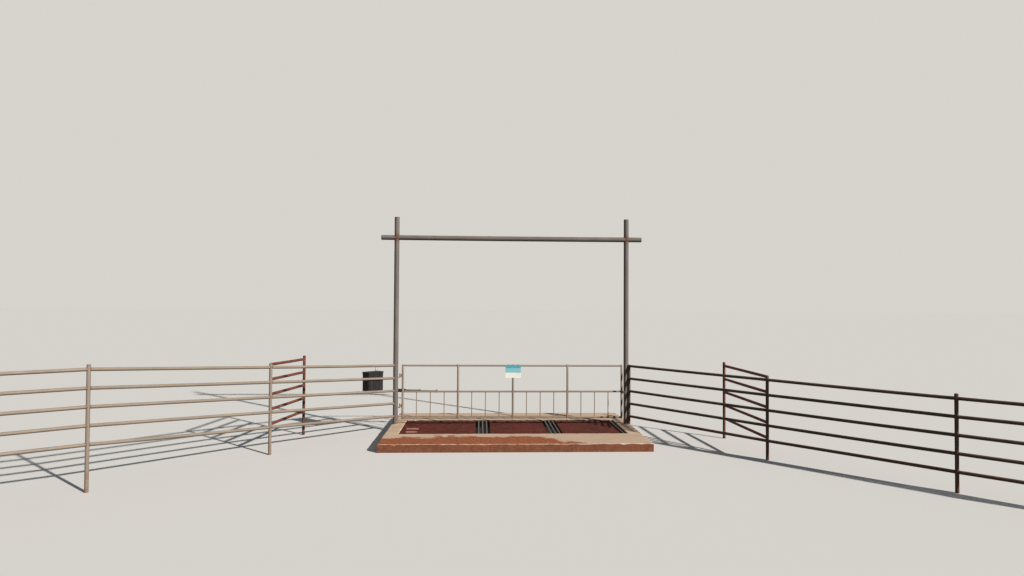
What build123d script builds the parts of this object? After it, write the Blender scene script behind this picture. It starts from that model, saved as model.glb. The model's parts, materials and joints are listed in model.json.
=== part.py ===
from build123d import *
import os
from math import cos, hypot, pi, radians, sin

# Cattle grid gateway: a pipe grid over a shallow concrete pit, a tall pipe portal,
# a swing gate with a powered opener, and pipe fences that flare out on both sides.
# Millimetres. X runs across the road, +Y is the inner side, +Z is up.
# The origin is under the middle of the gate line, on the underside of the pit floor.

# Pit and concrete surround
opening_width = 4904.0
opening_depth = 1700.0
opening_front_y = -1160.0
curb_width = 293.5
apron_depth = 1070.0
concrete_chamfer = 12.0
pit_floor_thickness = 20.0
grid_recess = 1.0

# Pipes of the grid and the beams below them
grid_pipe_radius = 36.5
grid_pipe_wall = 5.5
grid_pipe_pitch = 185.0
beam_height = 76.0
beam_flange_width = 59.0
beam_flange_thickness = 6.6
beam_web_thickness = 4.3
beam_end_gap = 4.0
beam_inset = 75.0
left_panel_width = 1617.0
left_panel_beams = 4
other_panel_beams = 3

# Strips of loose bars between the panels and at the right end, and a small gap at the left end
strip_bar_radius = 16.7
strip_bar_gap = 56.5
left_end_gap = 8.0
joint_strip_bars = 3
right_strip_bars = 1
bearer_depth = 50.0
bearer_wall = 5.0

# Portal
portal_post_from_opening = 208.0
portal_pipe_radius = 57.15
portal_post_height = 4743.0
lintel_height = 4277.0
lintel_overhang = 347.0
post_cap_height = 7.0
lintel_cap_height = 14.0
cap_rim_height = 4.0
lintel_cap_slope_width = 25.0

# Pipe welds and coped ends
weld_gap = 0.3
pipe_sides = 12
thin_bar_sides = 8
cut_beyond = 1.0

# Fences
fence_rail_radius = 28.6
fence_post_radius = 30.15
fence_rail_count = 5
fence_bottom_rail = 186.0
fence_rail_pitch = 288.75
fence_post_above_rail = 80.0
end_post_above_rail = 35.0
fence_cap_round = 8.0
return_rail_lift = 58.0
# Each bay runs from post to post: across the road, along it, and up
left_bays = [(-2113.0, -2349.0, 170.0), (-1985.0, -2594.0, 205.0), (-2362.0, -1847.0, 1.0)]
right_bays = [(2006.0, -2930.0, 5.0), (2047.0, -2323.0, -34.0), (2062.0, -2455.0, 0.0)]
left_return_bay = (126.0, 2022.0, -60.0)
right_return_bay = (-70.0, 2113.0, 20.0)
right_end_post_offset_y = -62.0
insulator_radius = 19.0
insulator_length = 46.0

# Gate
gate_upright_radius = 25.4
gate_rail_radius = 20.65
gate_bar_radius = 10.65
gate_top_rail = 1341.0
gate_middle_rail = 747.0
gate_bottom_rail = 152.0
gate_bay_count = 4
gate_bars_in_bay = 3
gate_latch_gap = 20.0
gate_hinge_gap = 41.0
hinge_to_stile = 66.0
upright_above_rail = 27.0
upright_below_rail = 27.0
hinge_heights = [1110.0, 420.0]
hinge_pin_radius = 9.5
hinge_pin_clearance = 0.3
hinge_barrel_wall = 6.5
hinge_barrel_height = 62.0
hinge_pin_reach = 22.0
hinge_lug_thickness = 16.0
latch_height = 733.0
latch_plate_thickness = 8.0
latch_plate_height = 50.0
latch_clearance = 5.0

# Sign on the gate
sign_width = 356.0
sign_height = 292.0
sign_thickness = 4.0
sign_top_above_rail = 14.0
sign_clamp_width = 26.0
sign_clamp_thickness = 3.0
sign_clamp_spacing = 230.0

# Powered opener
opener_post_pivot = (-100.0, 200.0)
opener_gate_pivot = (830.0, 85.0)
gate_swing = 90.0
opener_rod_radius = 16.0
opener_rod_clearance = 0.5
opener_tube_wall = 8.5
opener_collar_wall = 5.0
opener_collar_length = 40.0
opener_motor_length = 165.0
opener_motor_width = 66.0
opener_motor_height = 74.0
opener_motor_round = 12.0
opener_motor_setback = 42.0
opener_lug_thickness = 22.0
opener_lug_radius = 21.0
opener_lug_clearance = 0.5
opener_eye_radius = 21.0
opener_eye_thickness = 18.0
opener_eye_clearance = 5.0
opener_front_gap = 44.0
opener_plate_thickness = 8.0
opener_plate_width = 56.0
opener_saddle_edge = 10.0
opener_pin_radius = 8.0
opener_pin_head = 7.0
bolt_head_radius = 12.5

# Control box behind the left fence
box_along_fence = 540.0
box_width = 408.0
box_depth = 222.0
box_height = 396.0
box_bottom = 809.0
box_edge_round = 10.0
box_lid_height = 26.0
box_lid_overhang = 8.0
box_lid_bevel = 6.5
box_mount_width = 40.0
box_mount_thickness = 6.0
box_mount_spacing = 260.0
antenna_radius = 4.0
antenna_height = 90.0
antenna_offset = 75.0

# Worked out from the values above
slab_top = pit_floor_thickness + beam_height + 2 * grid_pipe_radius + grid_recess
opening_rear_y = opening_front_y + opening_depth
half_opening = opening_width / 2
outer_half_width = half_opening + curb_width
pipe_centre_z = pit_floor_thickness + beam_height + grid_pipe_radius
portal_x = half_opening + portal_post_from_opening
opener_pin_bore = opener_pin_radius + hinge_pin_clearance
fence_post_reach = fence_bottom_rail + fence_rail_pitch * (fence_rail_count - 1)
base_align = (Align.CENTER, Align.CENTER, Align.MIN)


def rod(start, end, radius):
    axis = Vector(end) - Vector(start)
    return Plane(origin=start, z_dir=axis) * Cylinder(radius, axis.length, align=base_align)


def flat_sided(radius, sides):
    # The repeated pipes of the grid, the fences and the gate have flat sides that touch the true round
    return RegularPolygon(radius, sides, major_radius=False, rotation=180 / sides)


def corner_radius(radius):
    return radius / cos(pi / pipe_sides)


def pipe(start, end, radius, sides=pipe_sides):
    axis = Vector(end) - Vector(start)
    return extrude(Plane(origin=start, z_dir=axis) * flat_sided(radius, sides), axis.length)


def thin_bar(start, end, radius):
    return pipe(start, end, radius, thin_bar_sides)


def block(low, high):
    size = Vector(high) - Vector(low)
    return Pos(*low) * Box(size.X, size.Y, size.Z, align=(Align.MIN, Align.MIN, Align.MIN))


def upright(x, y, bottom, top, radius, bar=rod):
    return bar((x, y, bottom), (x, y, top), radius)


def hole(x, y, radius, bar):
    tallest = slab_top + portal_post_height + fence_post_above_rail
    return upright(x, y, -cut_beyond, tallest, radius + weld_gap, bar)


def portal_hole(side):
    return hole(side * portal_x, 0, portal_pipe_radius, rod)


def write(node, pieces):
    solids = []
    for piece in pieces:
        solids.extend(piece.solids())
    shape = solids[0] if len(solids) == 1 else Compound(children=solids)
    shape.label = node
    export_step(shape, f"parts/{node}.step")


def chamfered_slab(low, high):
    slab = block(low, high)
    top = slab.faces().sort_by(Axis.Z)[-1]
    return chamfer(top.edges(), concrete_chamfer)


def right_end_post_x():
    reach = portal_pipe_radius + corner_radius(fence_post_radius) + weld_gap
    return portal_x + (reach ** 2 - right_end_post_offset_y ** 2) ** 0.5


def make_concrete():
    front = opening_front_y
    rear = opening_rear_y
    write("concrete_front_apron", [chamfered_slab((-outer_half_width, front - apron_depth, 0),
                                                  (outer_half_width, front, slab_top))])
    write("concrete_rear_apron", [chamfered_slab((-outer_half_width, rear, 0),
                                                 (outer_half_width, rear + apron_depth, slab_top))])
    left = chamfered_slab((-outer_half_width, front, 0), (-half_opening, rear, slab_top))
    right = chamfered_slab((half_opening, front, 0), (outer_half_width, rear, slab_top))
    left -= portal_hole(-1)
    right -= portal_hole(1)
    right -= hole(right_end_post_x(), right_end_post_offset_y, fence_post_radius, pipe)
    write("concrete_left_curb", [left])
    write("concrete_right_curb", [right])
    write("pit_floor", [block((-half_opening, front, 0), (half_opening, rear, pit_floor_thickness))])


def strip_width(bar_count):
    return bar_count * 2 * strip_bar_radius + (bar_count + 1) * strip_bar_gap


def grid_layout():
    strips = [joint_strip_bars, joint_strip_bars, right_strip_bars]
    spare = opening_width - left_end_gap - sum(strip_width(count) for count in strips) - left_panel_width
    widths = [left_panel_width, spare / 2, spare / 2]
    panels = []
    strip_places = []
    x = -half_opening + left_end_gap
    for width, count in zip(widths, strips):
        panels.append((x, x + width))
        x += width
        strip_places.append((x, count))
        x += strip_width(count)
    return panels, strip_places


def grid_pipes(left, right):
    count = int((opening_depth - 2 * grid_pipe_radius) // grid_pipe_pitch) + 1
    first = (opening_front_y + opening_rear_y) / 2 - grid_pipe_pitch * (count - 1) / 2
    pipes = []
    for index in range(count):
        y = first + index * grid_pipe_pitch
        ends = ((left, y, pipe_centre_z), (right, y, pipe_centre_z))
        pipes.append(pipe(*ends, grid_pipe_radius) - thin_bar(*ends, grid_pipe_radius - grid_pipe_wall))
    return pipes


def grid_beams(left, right, count):
    section = Rectangle(beam_web_thickness, beam_height)
    for side in (-1, 1):
        flange_z = side * (beam_height - beam_flange_thickness) / 2
        section += Pos(0, flange_z) * Rectangle(beam_flange_width, beam_flange_thickness)
    length = opening_depth - 2 * beam_end_gap
    beams = []
    for index in range(count):
        x = left + beam_inset + index * (right - left - 2 * beam_inset) / (count - 1)
        start = Plane(origin=(x, opening_rear_y - beam_end_gap, pit_floor_thickness + beam_height / 2),
                      x_dir=(1, 0, 0), z_dir=(0, -1, 0))
        beams.append(extrude(start * section, length))
    return beams


def strip_bars(left, count):
    z = slab_top - grid_recess - strip_bar_radius
    bars = []
    for index in range(count):
        x = left + (index + 1) * strip_bar_gap + (2 * index + 1) * strip_bar_radius
        bars.append(thin_bar((x, opening_front_y + beam_end_gap, z), (x, opening_rear_y - beam_end_gap, z),
                             strip_bar_radius))
    return bars


def strip_bearers(left, count):
    top = slab_top - grid_recess - 2 * strip_bar_radius
    height = top - pit_floor_thickness
    length = strip_width(count) - 2 * beam_end_gap
    section = Rectangle(bearer_depth, height) - Rectangle(bearer_depth - 2 * bearer_wall,
                                                          height - 2 * bearer_wall)
    bearers = []
    for y in (opening_front_y + beam_end_gap + bearer_depth / 2,
              opening_rear_y - beam_end_gap - bearer_depth / 2):
        start = Plane(origin=(left + beam_end_gap, y, pit_floor_thickness + height / 2),
                      x_dir=(0, 1, 0), z_dir=(1, 0, 0))
        bearers.append(extrude(start * section, length))
    return bearers


def make_grid():
    panels, strips = grid_layout()
    beams = []
    for name, (left, right), count in zip(("left", "middle", "right"), panels,
                                          (left_panel_beams, other_panel_beams, other_panel_beams)):
        write(f"{name}_grid_pipes", grid_pipes(left, right))
        beams += grid_beams(left, right, count)
    write("grid_beams", beams)
    bars = []
    bearers = []
    for left, count in strips:
        bars += strip_bars(left, count)
        bearers += strip_bearers(left, count)
    write("grid_strip_bars", bars)
    write("grid_strip_bearers", bearers)


def lintel_cap():
    cap = Cylinder(portal_pipe_radius, lintel_cap_height, align=base_align)
    rim = cap.edges().filter_by(GeomType.CIRCLE).sort_by(Axis.Z)[-1]
    return chamfer(rim, lintel_cap_height - cap_rim_height, lintel_cap_slope_width)


def make_portal():
    lintel_z = slab_top + lintel_height
    post_top = slab_top + portal_post_height
    write("left_portal_post", [upright(-portal_x, 0, 0, post_top, portal_pipe_radius)])
    write("right_portal_post", [upright(portal_x, 0, 0, post_top, portal_pipe_radius)])
    middle = rod((-portal_x, 0, lintel_z), (portal_x, 0, lintel_z), portal_pipe_radius)
    stubs = []
    caps = []
    for side in (-1, 1):
        middle -= portal_hole(side)
        tip = side * (portal_x + lintel_overhang)
        stub = rod((side * portal_x, 0, lintel_z), (tip, 0, lintel_z), portal_pipe_radius)
        stubs.append(stub - portal_hole(side))
        caps.append(Plane(origin=(tip, 0, lintel_z), z_dir=(side, 0, 0)) * lintel_cap())
        caps.append(upright(side * portal_x, 0, post_top, post_top + post_cap_height, portal_pipe_radius))
    write("lintel_middle_pipe", [middle])
    write("lintel_end_stubs", stubs)
    write("portal_end_caps", caps)


def fence_post(x, y, rise, above_rail):
    top = slab_top + fence_post_reach + rise + above_rail
    post = upright(x, y, 0, top, fence_post_radius, pipe)
    return chamfer(post.faces().sort_by(Axis.Z)[-1].edges(), fence_cap_round)


def fence_post_hole(place):
    return hole(place[0], place[1], fence_post_radius, pipe)


def fence_rails(start, end, holes):
    rails = []
    for index in range(fence_rail_count):
        z = slab_top + fence_bottom_rail + index * fence_rail_pitch
        rail = pipe((start[0], start[1], z + start[2]), (end[0], end[1], z + end[2]), fence_rail_radius)
        rails.append(rail - holes)
    return rails


def left_start():
    return -portal_x, 0.0, 0.0


def right_start():
    return right_end_post_x(), right_end_post_offset_y, 0.0


def step(place, bay):
    return tuple(value + change for value, change in zip(place, bay))


def return_ends(start, first_bay, return_bay):
    near = step(step(start, first_bay), (0, 0, return_rail_lift))
    return near, step(near, return_bay)


def make_fences():
    sides = (("left", left_start(), left_bays, left_return_bay, portal_hole(-1)),
             ("right", right_start(), right_bays, right_return_bay, fence_post_hole(right_start())))
    return_posts = []
    for name, start, bays, return_bay, near_hole in sides:
        posts = [fence_post(*start, end_post_above_rail)] if name == "right" else []
        place = start
        for index, bay in enumerate(bays, 1):
            after = step(place, bay)
            far_hole = fence_post_hole(after)
            write(f"{name}_fence_rails_{index}", fence_rails(place, after, [near_hole, far_hole]))
            posts.append(fence_post(*after, fence_post_above_rail))
            place = after
            near_hole = far_hole
        write(f"{name}_fence_posts", posts)
        near, far = return_ends(start, bays[0], return_bay)
        write(f"{name}_return_rails", fence_rails(near, far, [fence_post_hole(near), fence_post_hole(far)]))
        return_posts.append(fence_post(*far, fence_post_above_rail))
    write("return_end_posts", return_posts)


def make_insulators():
    x, y, rise = return_ends(left_start(), left_bays[0], left_return_bay)[1]
    pieces = []
    for index in range(fence_rail_count - 1):
        z = slab_top + fence_bottom_rail + rise + (index + 0.5) * fence_rail_pitch
        knob = thin_bar((x, y, z), (x, y - fence_post_radius - insulator_length, z), insulator_radius)
        pieces.append(knob - fence_post_hole((x, y)))
    write("return_post_insulators", pieces)


hinge_x = -portal_x + portal_pipe_radius + gate_hinge_gap
first_upright_x = hinge_x + hinge_to_stile
last_upright_x = portal_x - portal_pipe_radius - gate_latch_gap - gate_upright_radius
upright_pitch = (last_upright_x - first_upright_x) / gate_bay_count


def rail_level(height):
    return slab_top + height


def gate_upright_hole(x):
    return hole(x, 0, gate_upright_radius, pipe)


def make_gate_panel():
    places = [first_upright_x + index * upright_pitch for index in range(gate_bay_count + 1)]
    bottom = rail_level(gate_bottom_rail) - upright_below_rail
    top = rail_level(gate_top_rail) + upright_above_rail
    write("gate_uprights", [upright(x, 0, bottom, top, gate_upright_radius, pipe) for x in places])
    holes = [gate_upright_hole(x) for x in places]
    rails = []
    bars = []
    middle = rail_level(gate_middle_rail)
    low = rail_level(gate_bottom_rail)
    rail_cuts = [pipe((places[0], 0, z), (places[-1], 0, z), gate_rail_radius + weld_gap)
                 for z in (middle, low)]
    for bay in range(gate_bay_count):
        left = places[bay]
        right = places[bay + 1]
        for height in (gate_bottom_rail, gate_middle_rail, gate_top_rail):
            z = rail_level(height)
            rail = pipe((left, 0, z), (right, 0, z), gate_rail_radius)
            rails.append(rail - [holes[bay], holes[bay + 1]])
        for index in range(gate_bars_in_bay):
            x = left + (index + 1) * upright_pitch / (gate_bars_in_bay + 1)
            bars.append(upright(x, 0, low, middle, gate_bar_radius, thin_bar) - rail_cuts)
    write("gate_rails", rails)
    write("gate_thin_bars", bars)


def make_hinges():
    barrels = []
    pintles = []
    barrel_radius = hinge_pin_radius + hinge_pin_clearance + hinge_barrel_wall
    for height in hinge_heights:
        z = rail_level(height)
        low = z - hinge_barrel_height / 2
        high = z + hinge_barrel_height / 2
        strap = block((hinge_x, -hinge_barrel_wall, low), (first_upright_x, hinge_barrel_wall, high))
        barrel = upright(hinge_x, 0, low, high, barrel_radius) + strap
        bore_radius = hinge_pin_radius + hinge_pin_clearance
        bore = upright(hinge_x, 0, low - cut_beyond, high + cut_beyond, bore_radius)
        barrels.append(barrel - [bore, gate_upright_hole(first_upright_x)])
        lug_top = low - weld_gap
        lug_low = lug_top - hinge_lug_thickness
        lug = block((-portal_x, -barrel_radius, lug_low), (hinge_x, barrel_radius, lug_top))
        lug += upright(hinge_x, 0, lug_low, lug_top, barrel_radius)
        pin = upright(hinge_x, 0, lug_low, high + hinge_pin_reach, hinge_pin_radius)
        pintles.append(lug + pin - portal_hole(-1))
    write("gate_hinge_barrels", barrels)
    write("gate_hinge_pins", pintles)


def make_latch():
    z = rail_level(latch_height)
    low = z - latch_plate_height / 2
    high = z + latch_plate_height / 2
    half = latch_plate_thickness / 2
    post_face = portal_x - portal_pipe_radius
    tongue_end = post_face - latch_clearance
    tongue = block((last_upright_x, -half, low), (tongue_end, half, high))
    tongue -= gate_upright_hole(last_upright_x)
    stop_face = -gate_upright_radius - latch_clearance
    stop = block((last_upright_x, stop_face - latch_plate_thickness, low), (portal_x, stop_face, high))
    stop -= portal_hole(1)
    stop = stop.solids().sort_by(Axis.X)[0]
    write("gate_latch_tongue", [tongue])
    write("gate_stop_plate", [stop])


def make_sign():
    middle_x = (first_upright_x + last_upright_x) / 2
    top = rail_level(gate_top_rail) + sign_top_above_rail
    back = -gate_upright_radius - weld_gap
    write("gate_sign", [block((middle_x - sign_width / 2, back - sign_thickness, top - sign_height),
                              (middle_x + sign_width / 2, back, top))])
    inner = gate_rail_radius + weld_gap
    pad_depth = -inner - back
    section = flat_sided(inner + sign_clamp_thickness, pipe_sides)
    section += Pos(back + pad_depth / 2, 0) * Rectangle(pad_depth, 2 * sign_top_above_rail)
    section -= flat_sided(inner, pipe_sides)
    clamps = []
    for side in (-1, 1):
        x = middle_x + side * sign_clamp_spacing / 2 - sign_clamp_width / 2
        start = Plane(origin=(x, 0, rail_level(gate_top_rail)), x_dir=(0, 1, 0), z_dir=(1, 0, 0))
        clamps.append(extrude(start * section, sign_clamp_width))
    write("gate_sign_clamps", clamps)


def opener_geometry():
    post_x, post_y = opener_post_pivot
    gate_x, gate_y = opener_gate_pivot
    turn = radians(gate_swing)
    open_x = gate_x * cos(turn) - gate_y * sin(turn)
    open_y = gate_x * sin(turn) + gate_y * cos(turn)
    closed = (gate_x - post_x, gate_y - post_y)
    return closed, hypot(*closed), hypot(open_x - post_x, open_y - post_y)


def bolt_head(low):
    hexagon = RegularPolygon(bolt_head_radius, 6, major_radius=False)
    return extrude(Pos(0, 0, low) * hexagon, opener_pin_head)


def opener_plate(length, low, high):
    plate = block((-opener_plate_width / 2, -length, low), (opener_plate_width / 2, 0, high))
    return plate + upright(0, 0, low, high, opener_plate_width / 2)


def make_opener():
    level = rail_level(gate_middle_rail)
    closed, closed_length, open_length = opener_geometry()
    post_place = Vector(hinge_x + opener_post_pivot[0], opener_post_pivot[1], level)
    gate_place = Vector(hinge_x + opener_gate_pivot[0], opener_gate_pivot[1], level)
    arm = Plane(origin=post_place, x_dir=(closed[0], closed[1], 0), z_dir=(0, 0, 1))

    # Bracket on the portal post: a saddle, two plates and the fixed pin
    gap = opener_lug_thickness / 2 + opener_lug_clearance
    outer = gap + opener_plate_thickness
    saddle = outer + opener_saddle_edge
    back = portal_pipe_radius + opener_plate_thickness - post_place.Y
    bracket = block((-opener_plate_width / 2, -post_place.Y, -saddle), (opener_plate_width / 2, back, saddle))
    bracket += opener_plate(post_place.Y, gap, outer)
    bracket += opener_plate(post_place.Y, -outer, -gap)
    bracket += upright(0, 0, -outer - opener_pin_head, outer + opener_pin_head, opener_pin_radius)
    bracket += [bolt_head(-outer - opener_pin_head), bolt_head(outer)]
    write("opener_post_bracket", [Pos(*post_place) * bracket - portal_hole(-1)])

    # Motor housing with its rear lug
    motor_front = opener_motor_setback + opener_motor_length
    half_lug = opener_lug_thickness / 2
    housing = Box(opener_motor_length, opener_motor_width, opener_motor_height)
    housing = fillet(housing.edges().filter_by(Axis.X), opener_motor_round)
    motor = Pos((opener_motor_setback + motor_front) / 2, 0, 0) * housing
    motor += upright(0, 0, -half_lug, half_lug, opener_lug_radius)
    motor += block((0, -opener_lug_radius, -half_lug), (opener_motor_setback, opener_lug_radius, half_lug))
    motor -= upright(0, 0, -half_lug - cut_beyond, half_lug + cut_beyond, opener_pin_bore)
    write("opener_motor", [arm * motor])

    # Outer tube with a collar at its mouth
    bore_radius = opener_rod_radius + opener_rod_clearance
    tube_radius = bore_radius + opener_tube_wall
    mouth = open_length - opener_eye_radius - opener_front_gap
    rod_length = open_length - motor_front - opener_rod_clearance
    tube = rod((motor_front, 0, 0), (mouth, 0, 0), tube_radius)
    tube += rod((mouth - opener_collar_length, 0, 0), (mouth, 0, 0), tube_radius + opener_collar_wall)
    tube -= rod((motor_front, 0, 0), (mouth, 0, 0), bore_radius)
    write("opener_tube", [arm * tube])

    # Rod with a flat eye, which lies between the plates on the gate
    neck = closed_length - opener_plate_width / 2 - opener_eye_clearance
    half_eye = opener_eye_thickness / 2
    rod_piece = rod((closed_length - rod_length, 0, 0), (neck, 0, 0), opener_rod_radius)
    rod_piece += block((neck, -opener_rod_radius, -half_eye), (closed_length, opener_rod_radius, half_eye))
    rod_piece += upright(closed_length, 0, -half_eye, half_eye, opener_eye_radius)
    rod_piece -= upright(closed_length, 0, -half_eye - cut_beyond, half_eye + cut_beyond, opener_pin_bore)
    write("opener_rod", [arm * rod_piece])

    # Bracket on the gate's middle rail: two plates with bolt heads outside them
    gap = half_eye + opener_eye_clearance
    outer = gap + opener_plate_thickness
    rail_cut = pipe((-opener_plate_width, -gate_place.Y, 0), (opener_plate_width, -gate_place.Y, 0),
                    gate_rail_radius + weld_gap)
    plates = []
    for low, head in ((gap, outer), (-outer, -outer - opener_pin_head)):
        plate = opener_plate(gate_place.Y, low, low + opener_plate_thickness) + bolt_head(head)
        plates.append(Pos(*gate_place) * (plate - rail_cut))
    write("opener_gate_bracket", plates)


def make_control_box():
    across, along, rise = left_bays[0]
    fence = Plane(origin=(-portal_x, 0, slab_top), x_dir=(across, along, 0), z_dir=(0, 0, 1))
    slope_rise = rise * box_along_fence / hypot(across, along)
    mount_back = -fence_rail_radius - weld_gap - box_mount_thickness
    middle_y = mount_back - box_depth / 2
    body = Box(box_width, box_depth, box_height, align=base_align)
    body = fillet(body.edges().filter_by(Axis.Z), box_edge_round)
    write("control_box", [fence * Pos(box_along_fence, middle_y, box_bottom) * body])
    lid = Box(box_width + 2 * box_lid_overhang, box_depth + 2 * box_lid_overhang, box_lid_height,
              align=base_align)
    lid = fillet(lid.edges().filter_by(Axis.Z), box_edge_round)
    lid = chamfer(lid.faces().sort_by(Axis.Z)[-1].edges(), box_lid_bevel)
    lid_bottom = box_bottom + box_height
    write("control_box_lid", [fence * Pos(box_along_fence, middle_y, lid_bottom) * lid])
    lid_top = lid_bottom + box_lid_height
    antenna_x = box_along_fence - antenna_offset
    antenna = upright(antenna_x, middle_y, lid_top, lid_top + antenna_height, antenna_radius, thin_bar)
    write("control_box_antenna", [fence * antenna])
    lower_rail = fence_bottom_rail + 2 * fence_rail_pitch + slope_rise
    low = lower_rail - fence_rail_radius
    high = lower_rail + fence_rail_pitch + fence_rail_radius
    mounts = []
    for side in (-1, 1):
        left = box_along_fence + side * box_mount_spacing / 2 - box_mount_width / 2
        mounts.append(fence * block((left, mount_back, low),
                                    (left + box_mount_width, mount_back + box_mount_thickness, high)))
    write("control_box_mount", mounts)


def main():
    os.makedirs("parts", exist_ok=True)
    make_concrete()
    make_grid()
    make_portal()
    make_fences()
    make_insulators()
    make_gate_panel()
    make_hinges()
    make_latch()
    make_sign()
    make_opener()
    make_control_box()


main()
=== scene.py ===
import json
from math import cos, pi, radians, sin

import bmesh
import bpy
import numpy as np
from mathutils import Matrix, Vector, noise


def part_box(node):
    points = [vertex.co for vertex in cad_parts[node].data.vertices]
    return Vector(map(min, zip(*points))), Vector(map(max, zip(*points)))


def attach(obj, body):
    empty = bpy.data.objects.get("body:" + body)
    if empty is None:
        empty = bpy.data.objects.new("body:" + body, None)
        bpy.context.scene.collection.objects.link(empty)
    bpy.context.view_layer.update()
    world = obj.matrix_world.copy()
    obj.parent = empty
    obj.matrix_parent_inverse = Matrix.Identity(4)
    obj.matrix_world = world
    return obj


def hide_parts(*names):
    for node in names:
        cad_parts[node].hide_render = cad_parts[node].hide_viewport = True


# Looks of the cattle grid gateway: a pipe grid in a concrete pit, a tall pipe portal,
# a powered swing gate and pipe fences. Metres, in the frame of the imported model.
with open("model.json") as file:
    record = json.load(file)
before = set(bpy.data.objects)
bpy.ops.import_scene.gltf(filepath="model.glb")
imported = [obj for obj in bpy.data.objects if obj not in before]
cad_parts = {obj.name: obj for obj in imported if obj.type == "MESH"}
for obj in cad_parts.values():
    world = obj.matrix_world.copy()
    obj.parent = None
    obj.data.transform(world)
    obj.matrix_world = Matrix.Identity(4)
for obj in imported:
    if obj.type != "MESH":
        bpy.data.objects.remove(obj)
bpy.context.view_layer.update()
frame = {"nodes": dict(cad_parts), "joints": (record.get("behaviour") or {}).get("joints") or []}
cad_nodes = frame["nodes"]

# Stock pipe sizes and rail heights
portal_radius = 0.05715
post_radius = 0.03015
rail_radius = 0.0286
grid_pipe_radius = 0.0365
grid_pipe_bore = 0.031
strip_bar_radius = 0.0167
upright_radius = 0.0254
gate_rail_radius = 0.02065
gate_bar_radius = 0.01065
rod_radius = 0.016
rail_count = 5
rail_pitch = 0.28875
rail_below_post_top = 0.080
rail_below_end_post_top = 0.035
return_rail_lift = 0.058

# Fineness of the round surfaces
pipe_sides = 28
pipe_rings = 9
portal_sides = 56
grid_pipe_sides = 32
bar_sides = 18
bead_sides = 6
arc_points = 14
sharp_angle = radians(38)
same_point = 1e-6

# Distances of a pipe's rings from its welded end, the largest share of the pipe that they may take,
# how far rust creeps from a weld and how far a cope still shows in the rings
weld_steps = (0.0, 0.004, 0.011, 0.025, 0.05, 0.1)
weld_steps_share = 0.4
rust_reach = 0.03
cope_fade = 0.05

# Weld beads
rail_bead = 0.0034
portal_bead = 0.0055
grid_bead = 0.004
bar_bead = 0.0022
hinge_bead = 0.0028
bead_ripple = 0.16
bead_ripple_length = 0.009

# Bolts and nuts, as shares of half the distance over the flats
washer_height = 0.16
washer_bevel = 0.03
bolt_corners = 1.12
bolt_crown = 0.95
nut_corners = 1.13
nut_height = 0.8
nut_bevel = 0.12

# Directions
to_right = (1, 0, 0)
to_rear = (0, 1, 0)
upwards = (0, 0, 1)


# Small geometry helpers

def array(values):
    return np.asarray(values, float)


def unit(vector):
    vector = array(vector)
    return vector / np.linalg.norm(vector)


def axes_along(direction):
    along = unit(direction)
    helper = array(upwards) if abs(along[2]) < 0.9 else array(to_right)
    side = unit(np.cross(helper, along))
    return along, side, np.cross(along, side)


def full_turn(steps):
    return np.linspace(0, 2 * pi, steps, endpoint=False)


def domed_end(top, radius, rise, steps):
    """The end of a turned profile that closes in a dome."""
    return [(top - rise * (1 - sin(angle)), radius * cos(angle)) for angle in np.linspace(0, pi / 2, steps)]


def circle(sides):
    turn = full_turn(sides)
    return np.cos(turn), np.sin(turn)


def level_arc(x, y, z, radius, angles):
    """Points at one height round a place."""
    return [(x + radius * cos(angle), y + radius * sin(angle), z) for angle in angles]


def ring_faces(rings, sides, closed=False):
    faces = []
    for row in range(rings if closed else rings - 1):
        here = row * sides
        there = (row + 1) % rings * sides
        for k in range(sides):
            after = (k + 1) % sides
            faces.append((here + k, here + after, there + after, there + k))
    return faces


def end_faces(rings, sides):
    """The two faces that close the ends of a tube."""
    last = rings * sides - 1
    return [tuple(range(sides)), tuple(range(last, last - sides, -1))]


def round_corners(low, high, radius):
    """The corners of a rectangle as (x, y, cosine, sine): an arc's centre, and a direction from it."""
    corners = []
    for right, upper, start in ((True, True, 0), (False, True, 90), (False, False, 180), (True, False, 270)):
        x = high[0] - radius if right else low[0] + radius
        y = high[1] - radius if upper else low[1] + radius
        for turn in range(start, start + 91, 15):
            corners.append((x, y, cos(radians(turn)), sin(radians(turn))))
    return corners


def middle(low, high):
    return (array(low) + array(high)) / 2


def solid_boxes(node):
    """Lowest and highest corner of each separate solid of a CAD node, from left to right."""
    shape = bmesh.new()
    shape.from_mesh(cad_nodes[node].data)
    bmesh.ops.remove_doubles(shape, verts=shape.verts, dist=same_point)
    left = set(shape.verts)
    boxes = []
    while left:
        island = {left.pop()}
        edge_of_island = set(island)
        while edge_of_island:
            near = {e.other_vert(v) for v in edge_of_island for e in v.link_edges}
            edge_of_island = near - island
            island |= edge_of_island
        left -= island
        places = array([v.co for v in island])
        boxes.append((places.min(0), places.max(0)))
    shape.free()
    return sorted(boxes, key=lambda box: tuple(np.round((box[0] + box[1])[:2], 4)))


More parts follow.
